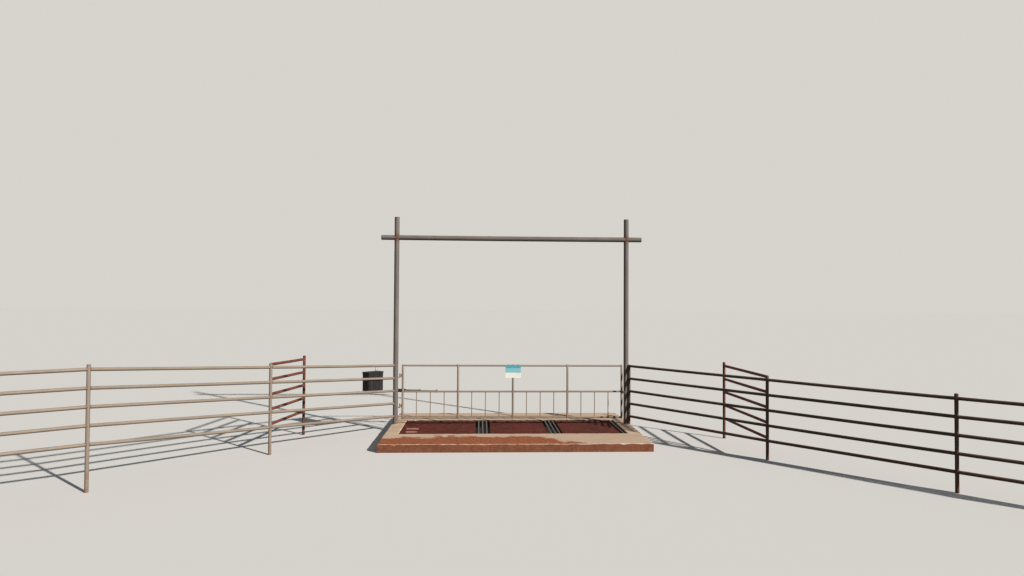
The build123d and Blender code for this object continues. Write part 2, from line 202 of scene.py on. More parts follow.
class Surface:
    """Points, faces and rust values of one piece, gathered before its mesh is made."""

    def __init__(self):
        self.points = []
        self.faces = []
        self.rust = []
        self.count = 0

    def add(self, points, faces, rust=0.0):
        points = array(points).reshape(-1, 3)
        self.points.append(points)
        self.faces.extend(tuple(index + self.count for index in face) for face in faces)
        self.rust.append(np.broadcast_to(rust, len(points)))
        self.count += len(points)

    def make(self, name, body, slot, material, *nodes):
        mesh = bpy.data.meshes.new(name)
        mesh.from_pydata(np.concatenate(self.points).tolist(), [], self.faces)
        rust = mesh.attributes.new("rust", "FLOAT", "POINT")
        rust.data.foreach_set("value", np.concatenate(self.rust).astype(np.float32))
        shape = bmesh.new()
        shape.from_mesh(mesh)
        bmesh.ops.remove_doubles(shape, verts=shape.verts, dist=same_point)
        bmesh.ops.dissolve_degenerate(shape, dist=0.1 * same_point, edges=shape.edges)
        bmesh.ops.recalc_face_normals(shape, faces=shape.faces)
        shape.to_mesh(mesh)
        shape.free()
        mesh.shade_smooth()
        mesh.set_sharp_from_angle(angle=sharp_angle)
        mesh.materials.append(material)
        piece = bpy.data.objects.new(name, mesh)
        bpy.context.scene.collection.objects.link(piece)
        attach(piece, body)
        if nodes:
            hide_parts(*nodes)


def standing(x, y, radius):
    """An upright pipe as a host for another pipe's end: a point, its axis and its radius."""
    return (x, y, 0), upwards, radius


def reach_to_pipe(points, along, host, far_side):
    """How far along a direction each point meets a host pipe."""
    place, axis, radius = host
    axis = unit(axis)
    offset = points - array(place)
    offset = offset - np.outer(offset @ axis, axis)
    across = along - (along @ axis) * axis
    a = across @ across
    b = offset @ across
    c = (offset * offset).sum(1) - radius ** 2
    root = np.sqrt(np.maximum(b * b - a * c, 0.0))
    return (-b + root) / a if far_side else (-b - root) / a


def end_rows(cut, steps, inwards, host):
    """The rings near one end of a pipe, from the cut on: their places along the pipe, and their rust."""
    rows = []
    for step in steps:
        hold = max(0.0, 1.0 - step / cope_fade)
        rust = np.exp(-step / rust_reach) if host else 0.0
        rows.append((cut * hold + cut.mean() * (1 - hold) + inwards * step, rust))
    return rows


def pipe(surface, start, end, radius, start_on=None, end_on=None, sides=pipe_sides, sag=0.0, bead=0.0):
    """A round pipe. start_on and end_on are the pipes that it is coped to."""
    start = array(start)
    way = array(end) - start
    length = np.linalg.norm(way)
    along, side, up = axes_along(way)
    cosine, sine = circle(sides)
    rim = start + radius * (np.outer(cosine, side) + np.outer(sine, up))
    first = reach_to_pipe(rim, along, start_on, True) if start_on else np.zeros(sides)
    last = reach_to_pipe(rim, along, end_on, False) if end_on else np.full(sides, length)
    clear = last.mean() - first.mean()
    steps = [step for step in weld_steps if step < weld_steps_share * clear]
    rows = end_rows(first, steps, 1, start_on)
    for share in np.linspace(0, 1, pipe_rings)[1:-1]:
        rows.append((np.full(sides, first.mean() + steps[-1] + share * (clear - 2 * steps[-1])), 0.0))
    rows += reversed(end_rows(last, steps, -1, end_on))
    rings = []
    for row, _ in rows:
        ring = rim + np.outer(row, along)
        part = np.clip(row / length, 0, 1)
        ring[:, 2] -= sag * (1 - (2 * part - 1) ** 2)
        rings.append(ring)
    surface.add(np.concatenate(rings), ring_faces(len(rows), sides) + end_faces(len(rows), sides),
                np.repeat([rust for _, rust in rows], sides))
    for ring, host in ((rings[0], start_on), (rings[-1], end_on)):
        if bead and host:
            weld(surface, ring, bead)


def weld(surface, curve, size, closed=True):
    """A rippled bead along a curve."""
    curve = array(curve)
    before = np.roll(curve, 1, 0)
    after = np.roll(curve, -1, 0)
    if not closed:
        before[0] = 2 * curve[0] - curve[1]
        after[-1] = 2 * curve[-1] - curve[-2]
    tangent = after - before
    tangent /= np.linalg.norm(tangent, axis=1)[:, None]
    outward = curve - curve.mean(0)
    outward -= (outward * tangent).sum(1)[:, None] * tangent
    outward /= np.linalg.norm(outward, axis=1)[:, None]
    binormal = np.cross(tangent, outward)
    travelled = np.cumsum(np.linalg.norm(curve - before, axis=1))
    swell = size * (1 + bead_ripple * np.sin(travelled * 2 * pi / bead_ripple_length))
    cosine, sine = circle(bead_sides)
    around = cosine[None, :, None] * outward[:, None, :] + sine[None, :, None] * binormal[:, None, :]
    faces = ring_faces(len(curve), bead_sides, closed)
    if not closed:
        faces += end_faces(len(curve), bead_sides)
    surface.add(curve[:, None, :] + swell[:, None, None] * around, faces, 1.0)


def bead_line(surface, start, end, size=hinge_bead):
    """A straight weld bead."""
    way = array(end) - array(start)
    length = np.linalg.norm(way)
    steps = np.linspace(0, length, max(6, round(3 * length / bead_ripple_length)))
    swell = size * (1 + bead_ripple * np.sin(steps * 2 * pi / bead_ripple_length))
    lathe(surface, start, way, [(0, 0), *zip(steps, swell), (length, 0)], bead_sides, 1.0)


def bead_on_post(surface, x, z, from_angle, to_angle):
    """A weld bead along a level arc on a portal post."""
    arc = level_arc(x, 0, z, portal_radius, np.linspace(from_angle, to_angle, arc_points))
    weld(surface, arc, hinge_bead, closed=False)


def lathe(surface, origin, direction, profile, sides=pipe_sides, rust=0.0):
    """A turned solid: profile is a list of (distance along the axis, radius)."""
    along, side, up = axes_along(direction)
    cosine, sine = circle(sides)
    spokes = np.outer(cosine, side) + np.outer(sine, up)
    points = [array(origin) + distance * along + radius * spokes for distance, radius in profile]
    surface.add(np.concatenate(points), ring_faces(len(profile), sides), rust)


def turned_ends(length, radius, bevel):
    """The profile of a closed round bar with bevelled ends."""
    return [(0, 0), (0, radius - bevel), (bevel, radius), (length - bevel, radius), (length, radius - bevel),
            (length, 0)]


def washer(surface, place, direction, size, radius, sides):
    """A washer of a bolt or nut, and the place on top of it."""
    profile = turned_ends(washer_height * size, radius * size, washer_bevel * size)
    lathe(surface, place, direction, profile, sides)
    return array(place) + unit(direction) * washer_height * size


def bolt(surface, place, direction, size, head=0.65):
    """A hexagon bolt head on a washer. size is half the distance over the flats."""
    foot = washer(surface, place, direction, size, 1.5, 20)
    corners = bolt_corners * size
    rim = (head + 0.35) * size
    top = (head + 0.5) * size
    profile = [(0, 0), (0, corners), (rim, corners), (top, bolt_crown * size), (top, 0)]
    lathe(surface, foot, direction, profile, 6)


def nut(surface, place, direction, size):
    """A hexagon nut on a washer. size is half the distance over the flats."""
    foot = washer(surface, place, direction, size, 1.32, 24)
    lathe(surface, foot, direction, turned_ends(nut_height * size, nut_corners * size, nut_bevel * size), 6)


def local_box(node, along):
    """Lowest and highest corner of a CAD node in axes turned to a level direction, and those axes."""
    axes = np.array([along, (-along[1], along[0], 0.0), upwards])
    places = array([v.co for v in cad_nodes[node].data.vertices]) @ axes.T
    return places.min(0), places.max(0), axes


def turned(axes):
    """The matrix that takes a place in turned axes to the frame."""
    return Matrix(axes.tolist()).transposed().to_4x4()


# Materials

def shade(colour, share):
    return tuple(share * channel for channel in colour)


class Nodes:
    """Short calls that make and wire the nodes of a tree."""

    def __init__(self, tree):
        self.tree = tree

    def put(self, socket, value):
        if isinstance(value, bpy.types.NodeSocket):
            self.tree.links.new(value, socket)
        elif isinstance(value, (tuple, list)) and len(value) == 3 and socket.type == "RGBA":
            socket.default_value = (*value, 1.0)
        else:
            socket.default_value = value

    def node(self, kind, inputs, **settings):
        made = self.tree.nodes.new(kind)
        for name, value in settings.items():
            setattr(made, name, value)
        for name, value in inputs.items():
            self.put(made.inputs[name], value)
        return made

    def maths(self, operation, a, b=0.0):
        return self.node("ShaderNodeMath", {0: a, 1: b}, operation=operation).outputs[0]

    def most(self, a, b):
        return self.maths("MAXIMUM", a, b)

    def seen(self):
        """1 for what the camera sees directly, in a mirror or through glass, and 0 for light."""
        rays = self.tree.nodes.new("ShaderNodeLightPath").outputs
        return self.most(self.most(rays["Is Camera Ray"], rays["Is Glossy Ray"]), rays["Is Transmission Ray"])


class Finish(Nodes):
    """A material, with short calls for its texture and its shader."""

    def __init__(self, name, roughness=0.5, metallic=0.0, specular=0.5):
        self.material = bpy.data.materials.new(name)
        self.material.use_nodes = True
        super().__init__(self.material.node_tree)
        self.shader = self.tree.nodes["Principled BSDF"]
        self.put(self.shader.inputs["Roughness"], roughness)
        self.put(self.shader.inputs["Metallic"], metallic)
        self.put(self.shader.inputs["Specular IOR Level"], specular)
        self.place = self.tree.nodes.new("ShaderNodeTexCoord").outputs["Object"]
        self.normal = self.tree.nodes.new("ShaderNodeNewGeometry").outputs["Normal"]

    def moved(self, scale, shift=0.0):
        inputs = {"Vector": self.place, "Scale": scale, "Location": shade(noise_offset, shift)}
        return self.node("ShaderNodeMapping", inputs).outputs[0]

    def noise(self, scale, detail=4.0, rough=0.55, stretch=(1, 1, 1), shift=0.0):
        inputs = {"Vector": self.moved(stretch, shift), "Scale": scale, "Detail": detail, "Roughness": rough}
        return self.node("ShaderNodeTexNoise", inputs).outputs["Fac"]

    def cells(self, scale, shift=0.0, **settings):
        inputs = {"Vector": self.moved((1, 1, 1), shift), "Scale": scale}
        return self.node("ShaderNodeTexVoronoi", inputs, **settings).outputs["Distance"]

    def ramp(self, value, low, high, to_low=0.0, to_high=1.0, course="SMOOTHSTEP"):
        inputs = {"Value": value, "From Min": low, "From Max": high, "To Min": to_low, "To Max": to_high}
        return self.node("ShaderNodeMapRange", inputs, interpolation_type=course).outputs[0]

    def times(self, a, b):
        return self.maths("MULTIPLY", a, b)

    def plus(self, a, b):
        return self.maths("ADD", a, b)

    def mix(self, share, a, b):
        return self.node("ShaderNodeMix", {0: share, 6: a, 7: b}, data_type="RGBA").outputs[2]

    def layer(self, tone, mask, share, colour):
        """A tone with a colour over a share of what the mask covers."""
        return self.mix(self.times(mask, share), tone, colour)

    def part(self, vector, axis):
        return self.node("ShaderNodeSeparateXYZ", {"Vector": vector}).outputs[axis]

    def facing_up(self, low, high):
        """0 to 1 as the surface's normal rises from low to high, or sinks if low is the higher."""
        return self.ramp(self.part(self.normal, 2), low, high)

    def attribute(self, name):
        return self.node("ShaderNodeAttribute", {}, attribute_name=name).outputs["Fac"]

    def colour(self, value):
        self.put(self.shader.inputs["Base Color"], value)

    def rough(self, value):
        self.put(self.shader.inputs["Roughness"], value)

    def bump(self, height, distance, strength=1.0):
        made = self.node("ShaderNodeBump", {"Height": height, "Distance": distance, "Strength": strength})
        normal = self.shader.inputs["Normal"]
        if normal.is_linked:
            self.put(made.inputs["Normal"], normal.links[0].from_socket)
        self.put(normal, made.outputs[0])


rust_dark = (0.055, 0.018, 0.010)
rust_orange = (0.22, 0.075, 0.025)
dust = (0.42, 0.30, 0.20)
red_soil = (0.24, 0.080, 0.042)
dried_streaks = (-0.495, -0.865)
streak_left = -2.34
streak_right = -2.03
streak_edge = 0.04
ground_splash_height = 0.65
# Painted shade on the underside of painted pipe: the normal's height where it starts and where it is full, and
# how strong it is
underside_start = 0.0
underside_full = -0.7
underside_painted_shade = 0.7
soil_line_left = 0.1
soil_line_right = 1.4
buried_height = 0.150
buried_edge = 0.014
noise_offset = (1, 0.37, 0.71)


def painted_pipe(name, base, worn, rust_amount, splash, dust_amount=0.35):
    """Old paint on pipe: faded in patches, dusty on top, rusty at the welds and in small chips, with painted
    shade on the underside.
    """
    f = Finish(name, 0.5, specular=0.2)
    fade = f.ramp(f.noise(1.7, 5), 0.35, 0.68)
    fine = f.ramp(f.noise(38, 3, shift=3), 0.3, 0.7)
    runs = f.ramp(f.noise(9, 4, stretch=(4, 4, 0.22), shift=7), 0.45, 0.7)
    tone = f.mix(fade, base, worn)
    tone = f.layer(tone, fine, 0.16, shade(base, 0.72))
    tone = f.layer(tone, runs, 0.18, shade(base, 0.62))
    # Painted shade: darker towards the underside
    under = f.facing_up(underside_start, underside_full)
    tone = f.layer(tone, under, underside_painted_shade, shade(base, 0.4))
    top = f.facing_up(0.15, 0.95)
    dusty = f.times(f.times(top, f.ramp(f.noise(6, 4, shift=11), 0.3, 0.65)), dust_amount)
    tone = f.mix(dusty, tone, dust)
    low = f.ramp(f.part(f.place, 2), ground_splash_height, 0.12)
    splashed = f.times(f.times(low, f.ramp(f.noise(14, 5, shift=5), 0.38, 0.62)), splash)
    tone = f.mix(splashed, tone, red_soil)
    near_weld = f.attribute("rust")
    grain = f.noise(70, 6, 0.7, shift=13)
    flakes = f.plus(f.noise(24, 7, 0.72, shift=17), f.times(near_weld, 0.16))
    chips = f.ramp(flakes, 0.71 - 0.02 * rust_amount, 0.76 - 0.02 * rust_amount)
    halo = f.ramp(f.times(near_weld, f.plus(grain, 0.45)), 0.25, 0.95)
    halo = f.times(halo, min(1.0, 0.35 + 0.3 * rust_amount))
    rust = f.mix(f.ramp(grain, 0.35, 0.65), rust_dark, rust_orange)
    tone = f.mix(f.most(f.times(chips, min(1.0, rust_amount)), halo), tone, rust)
    f.colour(tone)
    sheen = f.ramp(f.noise(11, 4, shift=23), 0.3, 0.7, 0.42, 0.58)
    f.rough(f.plus(sheen, f.times(f.most(chips, dusty), 0.3)))
    f.bump(f.noise(260, 3, 0.6), 0.0004, 0.5)
    f.bump(f.most(chips, halo), 0.0008, -0.35)
    return f.material


def rusted_pipe(name, light, dark):
    """Pipe with next to no paint left, red with rust."""
    f = Finish(name, 0.75, specular=0.3)
    patch = f.ramp(f.noise(3.2, 5, shift=2), 0.35, 0.7)
    grain = f.ramp(f.noise(52, 6, 0.7), 0.3, 0.7)
    tone = f.mix(patch, light, dark)
    tone = f.layer(tone, grain, 0.45, (0.090, 0.026, 0.017))
    paint_left = f.ramp(f.noise(7, 6, 0.65, shift=9), 0.63, 0.68)
    tone = f.layer(tone, paint_left, 0.6, (0.24, 0.20, 0.17))
    f.colour(tone)
    f.bump(f.noise(180, 5, 0.7), 0.0008, 0.6)
    return f.material


def grid_paint(name):
    """Red oxide on the grid pipes: worn by wheels on top, caked with soil in the lows, and darkened on the
    lower sides as painted shade.
    """
    f = Finish(name, 0.6, specular=0.15)
    patch = f.ramp(f.noise(2.3, 5, stretch=(0.5, 1, 1), shift=1), 0.35, 0.66)
    tone = f.mix(patch, (0.090, 0.0195, 0.0145), (0.057, 0.0148, 0.0112))
    scuff = f.ramp(f.noise(16, 5, 0.65, stretch=(0.3, 1.5, 1), shift=4), 0.5, 0.66)
    top = f.facing_up(0.55, 0.97)
    tone = f.layer(tone, f.times(scuff, top), 0.5, (0.085, 0.042, 0.034))
    soil = f.ramp(f.noise(9, 6, 0.6, shift=8), 0.52, 0.7)
    tone = f.layer(tone, soil, 0.4, (0.160, 0.055, 0.033))
    # Painted shade: the pipes' lower sides darkened
    lower_side_shade = f.facing_up(0.2, -0.5)
    tone = f.layer(tone, lower_side_shade, 0.5, (0.028, 0.014, 0.011))
    x = f.part(f.place, 0)
    y = f.part(f.place, 1)
    ragged = f.ramp(f.noise(7, 5, 0.6, shift=18), 0.25, 0.75, -0.06, 0.06)
    worn_x = f.plus(x, ragged)
    along = f.times(f.ramp(worn_x, streak_left, streak_left + streak_edge),
                    f.ramp(worn_x, streak_right, streak_right - streak_edge))
    on_pipe = 0.0
    for streak_y in dried_streaks:
        near = f.maths("ABSOLUTE", f.plus(y, -streak_y))
        on_pipe = f.most(f.ramp(near, 0.040, 0.026), on_pipe)
    streak = f.times(f.times(along, on_pipe), f.ramp(f.noise(26, 5, 0.65, shift=33), 0.2, 0.5))
    tone = f.layer(tone, streak, 0.85, (0.42, 0.21, 0.155))
    grain = f.noise(75, 6, 0.7)
    near_weld = f.attribute("rust")
    tone = f.mix(f.ramp(f.times(near_weld, f.plus(grain, 0.4)), 0.3, 0.9), tone, rust_dark)
    f.colour(tone)
    f.rough(f.ramp(grain, 0.3, 0.7, 0.5, 0.8))
    f.bump(f.noise(190, 5, 0.65), 0.0007, 0.5)
    f.bump(soil, 0.0015, 0.5)
    return f.material


def grey_steel(name, base, rust_share, roughness=0.5, metallic=0.35):
    """Bare or thinly coated steel with rust in patches."""
    f = Finish(name, roughness, metallic)
    patch = f.ramp(f.noise(5, 5), 0.35, 0.68)
    tone = f.mix(patch, base, shade(base, 0.7))
    grain = f.noise(60, 6, 0.7, shift=6)
    rust = f.mix(f.ramp(grain, 0.35, 0.65), rust_dark, (0.13, 0.052, 0.026))
    spots = f.plus(f.noise(13, 7, 0.7, shift=3), f.times(f.attribute("rust"), 0.2))
    spots = f.ramp(spots, 0.66 - rust_share, 0.72 - rust_share)
    f.colour(f.mix(spots, tone, rust))
    f.rough(f.plus(f.ramp(grain, 0.3, 0.7, roughness - 0.08, roughness + 0.1), f.times(spots, 0.25)))
    f.bump(f.noise(200, 4, 0.6), 0.0005, 0.4)
    return f.material


def soil_line(f, left_y, right_y, wander):
    """1 where red soil lies on the slab, on the near side of a wandering line across the road."""
    x = f.part(f.place, 0)
    line = f.ramp(x, soil_line_left, soil_line_right, left_y, right_y)
    ragged = f.plus(f.ramp(f.noise(0.9, 6, 0.62, shift=15), 0.25, 0.75, -wander, wander),
                    f.ramp(f.noise(5, 6, 0.7, shift=19), 0.25, 0.75, -0.3 * wander, 0.3 * wander))
    beyond = f.plus(f.part(f.place, 1), f.plus(f.times(line, -1.0), ragged))
    return f.ramp(beyond, 0.05, -0.11)


def concrete(name, left_y, right_y, wander=0.28, pit_edge=None):
    """Cast concrete with fine pores and hairline cracks, under dust and red soil; darkened at the pit edge,
    partly as soil stain and partly as painted shade.
    """
    f = Finish(name, 0.85, specular=0.2)
    cloud = f.ramp(f.noise(1.3, 6, 0.6), 0.32, 0.7)
    mottle = f.ramp(f.noise(11, 6, 0.65, shift=5), 0.3, 0.72)
    tone = f.mix(cloud, (0.64, 0.475, 0.35), (0.57, 0.42, 0.305))
    tone = f.layer(tone, mottle, 0.4, (0.67, 0.52, 0.40))
    pores = f.ramp(f.cells(150), 0.10, 0.02)
    pores = f.times(pores, f.ramp(f.noise(30, 2, shift=9), 0.5, 0.62))
    tone = f.layer(tone, pores, 0.6, (0.16, 0.11, 0.08))
    crack = f.ramp(f.cells(0.9, 2.6, feature="DISTANCE_TO_EDGE"), 0.0035, 0.0)
    crack = f.times(crack, f.ramp(f.noise(2.0, 3, shift=31), 0.55, 0.62))
    tone = f.layer(tone, crack, 0.8, (0.13, 0.085, 0.055))
    grain = f.ramp(f.noise(24, 6, 0.7, shift=21), 0.25, 0.6)
    clods = f.ramp(f.noise(12, 5, shift=37), 0.3, 0.7)
    earth = f.mix(clods, (0.365, 0.106, 0.041), (0.25, 0.068, 0.027))
    damp = f.mix(clods, (0.200, 0.066, 0.033), (0.138, 0.044, 0.023))
    flat = f.facing_up(0.2, 0.9)
    soiled = f.times(f.times(soil_line(f, left_y, right_y, wander), flat), f.plus(f.times(grain, 0.28), 0.74))
    tone = f.mix(soiled, tone, earth)
    splotch = f.ramp(f.noise(6.5, 7, 0.7, shift=44), 0.60, 0.76)
    tone = f.layer(tone, splotch, 0.3, (0.42, 0.19, 0.11))
    side = f.facing_up(0.7, 0.1)
    height = f.plus(f.part(f.place, 2), f.ramp(f.noise(4, 6, 0.65, shift=27), 0.25, 0.75, -0.012, 0.012))
    buried = f.ramp(height, buried_height + buried_edge, buried_height)
    tone = f.mix(f.times(f.times(side, buried), f.plus(f.times(grain, 0.1), 0.88)), tone, damp)
    # At the pit edge: a dark soil stain, deepened as painted shade of the pit's rear wall
    if pit_edge is not None:
        pit_edge_soil_and_shade = f.ramp(f.part(f.place, 1), pit_edge + 0.016, pit_edge + 0.010)
        tone = f.layer(tone, pit_edge_soil_and_shade, 0.9, (0.075, 0.035, 0.026))
    f.colour(tone)
    f.rough(f.ramp(mottle, 0, 1, 0.78, 0.92))
    f.bump(f.noise(220, 5, 0.7), 0.0009, 0.6)
    f.bump(f.most(pores, crack), 0.002, -0.6)
    return f.material


def dirty_shaded_floor(name):
    """Dark wet dirt, made near black as painted shade of the pit."""
    f = Finish(name, 0.9)
    f.colour(f.mix(f.ramp(f.noise(4, 6, 0.6), 0.3, 0.7), (0.034, 0.019, 0.014), (0.018, 0.012, 0.010)))
    f.bump(f.noise(60, 6, 0.7), 0.004, 0.6)
    return f.material


def moulded_plastic(name, base, dust_amount=0.3, roughness=0.5):
    """Matt moulded plastic, faded on top and dusty."""
    f = Finish(name, roughness, specular=0.25)
    top = f.facing_up(0.2, 0.95)
    tone = f.mix(f.ramp(f.noise(8, 4), 0.35, 0.7), base, shade(base, 1.5))
    veil = f.times(f.ramp(f.noise(15, 5, 0.6, shift=4), 0.3, 0.75), dust_amount)
    tone = f.mix(f.times(veil, f.plus(f.times(top, 0.75), 0.25)), tone, (0.30, 0.22, 0.16))
    f.colour(tone)
    f.rough(f.plus(f.ramp(f.noise(40, 3), 0.3, 0.7, roughness - 0.05, roughness + 0.08), f.times(veil, 0.3)))
    f.bump(f.noise(420, 2, 0.5), 0.0003, 0.35)
    return f.material


def sign_print(name, low, high, header_share, band_share):
    """A blank painted sheet with a dark header strip, a pale blue band and a white field."""
    f = Finish(name, 0.42)
    height = f.ramp(f.part(f.place, 2), low, high, course="LINEAR")
    band = f.maths("GREATER_THAN", height, 1 - band_share)
    header = f.maths("GREATER_THAN", height, 1 - header_share)
    tone = f.mix(band, (0.80, 0.80, 0.76), (0.20, 0.50, 0.60))
    tone = f.mix(header, tone, (0.075, 0.33, 0.42))
    grime = f.ramp(f.noise(14, 6, 0.65), 0.45, 0.8)
    tone = f.layer(tone, grime, 0.35, (0.35, 0.27, 0.20))
    back = f.ramp(f.part(f.normal, 1), 0.4, 0.6)
    tone = f.mix(back, tone, (0.42, 0.42, 0.41))
    f.colour(tone)
    f.rough(f.ramp(f.noise(30, 3), 0.3, 0.7, 0.35, 0.5))
    f.bump(f.noise(5, 2), 0.003, 0.3)
    return f.material


sign_low, sign_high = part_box("gate_sign")
front_low, front_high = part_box("concrete_front_apron")
pit_rear_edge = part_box("concrete_rear_apron")[0].y
soil_from_pit = 0.26
soil_from_front = 0.05
no_soil = -9.0

portal_paint = painted_pipe("pipe_paint", (0.148, 0.133, 0.128), (0.177, 0.159, 0.151), 1.0, 0.5, 0.25)
# The right fence's paint: the fence paint made darker as painted shade, since that fence is seen from its
# shaded side
dark_fence_paint = painted_pipe("dark_fence_paint", (0.082, 0.058, 0.046), (0.100, 0.073, 0.058), 1.0, 0.5,
                                0.25)
fence_paint = painted_pipe("fence_paint", (0.256, 0.212, 0.176), (0.290, 0.245, 0.206), 1.0, 0.5)
gate_paint = painted_pipe("gate_paint", (0.285, 0.232, 0.190), (0.330, 0.273, 0.228), 0.8, 0.4)
rusty = rusted_pipe("rusty_rail", (0.205, 0.055, 0.033), (0.135, 0.034, 0.021))
dark_rust = rusted_pipe("dark_rust", (0.130, 0.043, 0.027), (0.085, 0.029, 0.020))
grid_red = grid_paint("grid_red")
grid_steel = grey_steel("grid_steel", (0.078, 0.071, 0.073), 0.03)
# The strip bearers' steel, made near black as painted shade of the pit under the strip bars
bearer_steel = grey_steel("bearer_steel", (0.020, 0.017, 0.017), 0.01)
front_concrete = concrete("front_concrete", front_high.y - soil_from_pit, front_low.y - soil_from_front)
rear_concrete = concrete("rear_concrete", no_soil, no_soil, pit_edge=pit_rear_edge)
curb_concrete = concrete("curb_concrete", no_soil, no_soil)
# The pit floor: dark dirt, and painted shade of the pit
pit_dirt_and_shade = dirty_shaded_floor("pit_concrete")
hardware = grey_steel("hardware", (0.105, 0.098, 0.090), 0.02, 0.5, 0.5)
insulator_black = moulded_plastic("insulator_black", (0.005, 0.005, 0.005), 0.03, 0.45)
opener_black = moulded_plastic("opener_black", (0.020, 0.019, 0.019), 0.2, 0.42)
black_plastic = moulded_plastic("black_plastic", (0.011, 0.0115, 0.013), 0.09, 0.66)
rod_steel = grey_steel("rod_steel", (0.15, 0.14, 0.135), -0.04, 0.35, 0.8)
sign_face = sign_print("sign_face", sign_low.z, sign_high.z, 0.24, 0.60)


# Concrete

concrete_cell = 0.03
concrete_bevel = 0.012
rough_top = 0.02
rough_depth = 0.0012
chip_depth = 0.014
chip_reach = 0.03
inward_from_side = ((1, 0, 0), (-1, 0, 0), (0, 1, 0), (0, -1, 0))


def concrete_block(name, material, seed):
    """A block of cast concrete with a rough top and chipped top edges, inside its CAD box."""
    low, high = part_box(f"concrete_{name}")
    shape = bmesh.new()
    bmesh.ops.create_cube(shape, size=1.0)
    for vert in shape.verts:
        vert.co = Vector((low[i] + (vert.co[i] + 0.5) * (high[i] - low[i]) for i in range(3)))
    top_edges = [e for e in shape.edges if all(abs(v.co.z - high.z) < same_point for v in e.verts)]
    bmesh.ops.bevel(shape, geom=top_edges, offset=concrete_bevel, segments=2, profile=0.5, affect="EDGES")
    for axis in range(3):
        cells = max(2, round((high[axis] - low[axis]) / concrete_cell))
        normal = Vector((axis == 0, axis == 1, axis == 2))
        for k in range(1, cells):
            cut = Vector(low)
            cut[axis] = low[axis] + (high[axis] - low[axis]) * k / cells
            geometry = shape.verts[:] + shape.edges[:] + shape.faces[:]
            bmesh.ops.bisect_plane(shape, geom=geometry, plane_co=cut, plane_no=normal, dist=same_point)
    for vert in shape.verts:
        place = vert.co.copy()
        insets = [place.x - low.x, high.x - place.x, place.y - low.y, high.y - place.y]
        beside = min(insets)
        below = high.z - place.z
        wave = noise.fractal(place * 2.5 + Vector((seed, 0, 0)), 0.8, 2.0, 4)
        if below < rough_top:
            vert.co.z -= rough_depth * (1 + wave)
        near_edge = max(0.0, 1 - max(beside, below) / chip_reach)
        if near_edge > 0:
            chip = noise.fractal(place * 9 + Vector((0, seed, 3)), 0.7, 2.1, 5)
            bite = chip_depth * near_edge * min(1.0, max(0.0, chip * 2.2 - 0.25))
            inward = Vector((0, 0, -1))
            if beside < chip_reach:
                inward += Vector(inward_from_side[insets.index(beside)])
            vert.co += inward.normalized() * bite
    shape.verts.index_update()
    surface = Surface()
    faces = [[vert.index for vert in face.verts] for face in shape.faces]
    surface.add([tuple(vert.co) for vert in shape.verts], faces)
    shape.free()
    surface.make(name, "root", "concrete", material, f"concrete_{name}")


def make_concrete():
    concrete_block("front_apron", front_concrete, 1.0)
    concrete_block("rear_apron", rear_concrete, 4.0)
    concrete_block("left_curb", curb_concrete, 7.0)
    concrete_block("right_curb", curb_concrete, 9.0)


# Grid

weld_arc = radians(52)
flange_half = 0.0295
weld_proud = 0.001
pipe_lip = 0.0008
strip_bar_bevel = 0.0012


def hollow_pipe(surface, low, high):
    """A grid pipe along X with open ends, from the box of its CAD solid."""
    _, y, z = middle(low, high)
    steps = np.linspace(low[0], high[0], 12)
    rim = grid_pipe_radius - pipe_lip
    places = (steps[0] + pipe_lip, *steps[1:-1], steps[-1] - pipe_lip)
    outside = [(steps[0], rim), *((x, grid_pipe_radius) for x in places), (steps[-1], rim)]
    inside = [(x, grid_pipe_bore) for x in steps[::-1]]
    lathe(surface, (0, y, z), to_right, outside + inside + outside[:1], grid_pipe_sides)
    return y, z


def weld_below(surface, x, y, z, radius, steps, size, along_road=False):
    """A bead round the lower side of a pipe that lies across the road, or along it."""
    arc = []
    for angle in np.linspace(-weld_arc, weld_arc, steps):
        out = radius * sin(angle)
        arc.append((x + out * along_road, y + out * (not along_road), z - radius * cos(angle)))
    weld(surface, arc, size, closed=False)


def make_grid():
    beams = solid_boxes("grid_beams")
    pipe_weld_radius = grid_pipe_radius + weld_proud
    for side in ("left", "middle", "right"):
        node = f"{side}_grid_pipes"
        surface = Surface()
        for low, high in solid_boxes(node):
            y, z = hollow_pipe(surface, low, high)
            for beam_low, beam_high in beams:
                beam_x = (beam_low[0] + beam_high[0]) / 2
                if low[0] < beam_x < high[0]:
                    for edge in (-1, 1):
                        x = beam_x + edge * (flange_half - grid_bead)
                        weld_below(surface, x, y, z, pipe_weld_radius, arc_points, grid_bead)
        surface.make(f"{side}_panel_pipes", "root", "grid_red", grid_red, node)

    bars = Surface()
    bearers = solid_boxes("grid_strip_bearers")
    for low, high in solid_boxes("grid_strip_bars"):
        x, _, z = middle(low, high)
        profile = turned_ends(high[1] - low[1], strip_bar_radius, strip_bar_bevel)
        lathe(bars, (x, low[1], z), to_rear, profile, 24)
        for bearer_low, bearer_high in bearers:
            if bearer_low[0] < x < bearer_high[0]:
                for y in (bearer_low[1] + grid_bead, bearer_high[1] - grid_bead):
                    weld_below(bars, x, y, z, strip_bar_radius, 10, 0.7 * grid_bead, along_road=True)
    bars.make("strip_bars", "root", "grid_steel", grid_steel, "grid_strip_bars")


# Portal

cap_bevel = 0.0025
cap_dome = 0.010
cap_seam = 0.002
cap_inset = 0.003
top_seam_bead = 0.003
lintel_sag = 0.004
plain_post_heights = (0.3, 1.0, 2.0, 3.0)
rings_beside_lintel = (0.25, 0.12, 0.075, 0.05)
rings_below_top = (0.06, 0.02)
lintel_rust_reach = 0.06
top_rust_reach = 0.02


